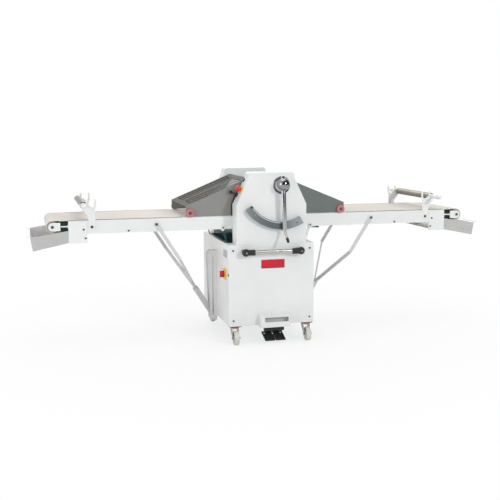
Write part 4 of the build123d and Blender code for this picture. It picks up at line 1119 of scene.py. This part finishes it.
stick_place = (1049.75, -330)
boot_rings = [(0.0165, 0.0003), (0.0165, 0.0022)]
for fold in range(5):
    narrower, higher = fold * 0.0014, fold * 0.0045
    boot_rings += [(0.0138 - narrower, 0.0045 + higher), (0.0142 - narrower, 0.0067 + higher)]
boot_rings.append((0.0061, 0.0275))
boot = turned(boot_rings, 32, "open")
wall = boot.modifiers.new("rubber_wall", "SOLIDIFY")
wall.thickness = 0.0008
wall.offset = -1
soft = boot.modifiers.new("soft_folds", "SUBSURF")
soft.levels = soft.render_levels = 1
take(boot)
bpy.ops.object.modifier_apply(modifier=wall.name)
bpy.ops.object.modifier_apply(modifier=soft.name)
boot.matrix_world = facing(on_slant(*stick_place), slant_out)
settle(boot, "joystick_boot", None, "rubber", angle=70)
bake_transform(boot)
print("bezel", len(bezel.data.polygons), "boot", len(boot.data.polygons), "faces")

# %% [markdown]
# The gap lever carries a stud on top of its ball hub, a black pointer that reads the scale, a satin
# oval sleeve over its flat arm, and a black end on its rod. All four ride on the lever. The stud and
# the rod's end are turned, the pointer is a small block with one end drawn to a tip, and the sleeve
# is a drum, flattened, with both ends bevelled. Behind the hub, on the white disc, lies a polished
# ring that the hub turns over.

# %% Fittings of the gap lever
lever_x, lever_z = 68, 1128
stud_rings = ((0.0075, 0), (0.0075, 0.004), (0.0055, 0.0052), (0.0055, 0.0125), (0.0042, 0.0142))
stud_seat = facing(at(lever_x, -484.3, 1172), (0, 0, 1))
stud = fit_turned(stud_rings, 24, stud_seat, "lever_stud", "lever", "dark_steel")

pointer = block((0.02, 0.0046, 0.036), at(62, -478.6, 841))
pick_side(pointer, (0, 0, -1))
draw_out((0.003, 0, -0.012))
bpy.ops.transform.resize(value=(0.25, 1, 1))
bpy.ops.mesh.select_all(action="SELECT")
bpy.ops.mesh.bevel(offset=0.0007, segments=2)
settle(pointer, "scale_pointer", "lever", "black_plastic")

arm_way = Vector((11, 0, -315)).normalized()
sleeve = drum(sides=48, radius=1, tall=1, foot=-0.5)
sleeve.scale = (0.0158, 0.0092, 0.2865)
place_in_mesh()
ease(sleeve, lambda a, b: min(abs(a.z), abs(b.z)) > 0.14 and a.z * b.z > 0, 0.0025, 3)
sleeve.matrix_world = facing(at(lever_x, -485, lever_z) + arm_way * 0.17325, arm_way, 90)
settle(sleeve, "lever_arm_sleeve", "lever", "arm_steel")

hub_rings = (
    (0.0452, 0), (0.0625, 0), (0.0625, 0.0009), (0.0612, 0.002), (0.0464, 0.002), (0.0452, 0.001))
hub_seat = facing(at(lever_x, -438, 1120), (0, -1, 0))
hub_ring = fit_turned(
    hub_rings, 64, hub_seat, "hub_ring", "base", "polished_steel", "joined")

rod_way = Vector((2, -68, -62)).normalized()
rod_rings = ((0.0088, 0), (0.0096, 0.0012), (0.0096, 0.031), (0.0085, 0.0345), (0.0055, 0.0366))
rod_seat = facing(at(82, -553, 737) - rod_way * 0.03, rod_way)
rod_cap = fit_turned(rod_rings, 28, rod_seat, "rod_end_cap", "lever", "rubber")
print("lever fittings", stud.name, pointer.name, sleeve.name, hub_ring.name, rod_cap.name)

# %% [markdown]
# The scale's inner wall carries a white strip, and a thin white line runs beside it on the face. Both
# are painted highlights, for the bright glints along the scale's polished rim.
# Each is a small rectangle, spun round the lever's axis in one go, up to where the lever hangs.
# At the scale's upper left end a rubber stop catches the lever.

# %% Highlights of the scale's rim, and its stop
lever_axis = at(lever_x, -scale_y, lever_z)
arc_start, arc_sweep, arc_steps = math.radians(55.4), math.radians(57), 56
seam_gap = 0.00005


def arc_strip(name, radius, wide, front, deep, finish):
    """A strip round the lever's axis, wide across the scale and deep from its front towards the back."""
    clear_hands()
    bpy.ops.mesh.primitive_plane_add(size=1, location=(0, 0, 0))
    strip = bpy.context.object
    strip.scale = (wide, deep, 1)
    place_in_mesh()
    seat = Matrix.Translation(lever_axis + Vector((0, front + deep / 2, 0)))
    swing = Matrix.Rotation(arc_start, 4, "Y") @ Matrix.Translation((0, 0, -radius))
    strip.matrix_world = seat @ swing @ Matrix.Rotation(math.radians(90), 4, "Y")
    place_in_mesh()
    bpy.ops.object.mode_set(mode="EDIT")
    bpy.ops.mesh.select_all(action="SELECT")
    bpy.ops.mesh.spin(steps=arc_steps, angle=arc_sweep, center=lever_axis, axis=(0, 1, 0))
    merge_seams(seam_gap)
    face_outwards()
    return settle(strip, name, "base", finish, angle=30)


flange = arc_strip("scale_flange", 0.2612, 0.0016, -0.001, 0.034, "white_paint")
arc_strip("scale_line", 0.2695, 0.0035, -0.0004, 0.0006, "white_paint")

stop_angle, stop_radius = math.radians(54.8), 271
stop_x = lever_x - stop_radius * math.sin(stop_angle)
stop_z = lever_z - stop_radius * math.cos(stop_angle)
stop_rings = ((0.0062, 0), (0.0075, 0.001), (0.0075, 0.0065), (0.0062, 0.008), (0.002, 0.0083))
stop_seat = facing(at(stop_x, -scale_y, stop_z), (0, -1, 0))
fit_turned(stop_rings, 24, stop_seat, "scale_stop", "base", "rubber")
print("flange spans", [round(v, 3) for v in flange.dimensions])

# %% [markdown]
# A black rubber strip along the edge of the head's front housing towards the left table is painted
# shadow: it stands for the dark shadow gap between the left guard and the head's slanted face. Its
# section is one small block. The block's top face is spun round the bend of the shoulder and then
# drawn up the slant.

# %% Shadow strip at the head's edge
bend_r = 0.11
bend_rise = bend_r * math.tan(slant / 2)
seal_x, seal_y, seal_foot = 258.2, 307, 905
seal_rise = 0.062
bend_middle = at(-shoulder_x, -seal_y, shoulder_z - bend_rise * 1000) + Vector((bend_r, 0, 0))
seal_low = at(-seal_x, -seal_y, seal_foot)
seal_middle = (seal_low.x, seal_low.y, (seal_low.z + bend_middle.z) / 2)
seal = block((0.0096, 0.008, bend_middle.z - seal_low.z), seal_middle)
pick_side(seal, (0, 0, 1))
bpy.ops.mesh.spin(steps=8, angle=-slant, center=bend_middle, axis=(0, 1, 0))
draw_out(Vector((math.sin(slant), 0, math.cos(slant))) * seal_rise)
merge_seams(seam_gap)
bpy.ops.mesh.delete_loose()
face_outwards()
bpy.ops.object.mode_set(mode="OBJECT")
settle(seal, "head_edge_seal", "base", "rubber", angle=30)
print("seal spans", [round(v, 3) for v in seal.dimensions])

# %% [markdown]
# A foot needs grip, so each pedal has raised ribs across its plate.
# One rib is a block with its upper edges bevelled; it is copied down the slope of both pedals.

# %% Pedal ribs
pedal_y, pedal_z = 364, 61
first_rib, rib_pitch, rib_count = 0.029, 0.0125, 6
rib = block((0.063, 0.006, 0.0028), (0, 0, 0.0012))
ease(rib, lambda a, b: min(a.z, b.z) > 0.002, 0.001, 3)
fall = Vector((0, -92, -34)).normalized()
pedal_up = Vector((0, -34, 92)).normalized()
lay = Matrix(((1, 0, 0), (0, -fall.y, pedal_up.y), (0, -fall.z, pedal_up.z))).to_4x4()
for hand, middle in (("left", -18.5), ("right", 58.5)):
    hinge = at(middle, -pedal_y, pedal_z)
    steps = [fall * (first_rib + rib_pitch * step) for step in range(rib_count)]
    rib_seats = [Matrix.Translation(hinge + step) @ lay for step in steps]
    fit_copies(rib, f"{hand}_pedal_ribs", f"{hand}_pedal", "rubber", rib_seats)
put_away(rib)
print("pedal ribs", 2 * rib_count)

# %% [markdown]
# Each caster has a dark red dust ring round its swivel bearing and a thin cover on both sides of its
# wheel. Both are rings drawn out of circles, modelled once and copied to the four casters.

# %% Caster rings and wheel covers
bearing_z, cover_out = 119.2, 16
ring_rings = (
    (0.0342, 0), (0.0372, 0), (0.0378, 0.0012), (0.0378, 0.0062), (0.0366, 0.0074), (0.0342, 0.0074))
ring = turned(ring_rings, 40, "joined")
cover_rings = ((0.0205, 0), (0.035, 0), (0.0342, 0.001), (0.023, 0.0016), (0.0205, 0.0016))
cover = turned(cover_rings, 40, "joined")
for caster, x, y in casters:
    ring_seats = [facing(at(x, y, bearing_z), (0, 0, 1))]
    fit_copies(ring, f"{caster}_dust_ring", f"{caster}_swivel", "dust_red", ring_seats)
    cover_seats = beside_wheel(x, y, cover_out)
    fit_copies(cover, f"{caster}_wheel_covers", f"{caster}_wheel", "plate_grey", cover_seats)
put_away(ring)
put_away(cover)
print("dust rings and covers on", len(casters), "casters")

# %% [markdown]
# A black latch under the right rail holds that table down. It is a lug with a round bar through it
# and a ball at the end; the bar and its ball are one turned shape.

# %% Table latch
lug = block((0.012, 0.022, 0.0124), at(378, -293, 804))
ease(lug, lambda a, b: abs(a.x - b.x) > 0.01, 0.003, 3)
settle(lug, "right_latch_lug", "right_table", "black_paint")
bar_rings = ((0.0025, 0), (0.004, 0.0015), (0.004, 0.064))
ball_rings = ((0.0055, 0.0665), (0.0065, 0.07), (0.0055, 0.0735), (0.0025, 0.0762))
latch_seat = facing(at(322, -286, 802), (1, 0, 0))
latch = fit_turned(
    bar_rings + ball_rings, 24, latch_seat,
    "right_latch_bar", "right_table", "black_plastic")
print("latch", [round(v, 3) for v in latch.dimensions])
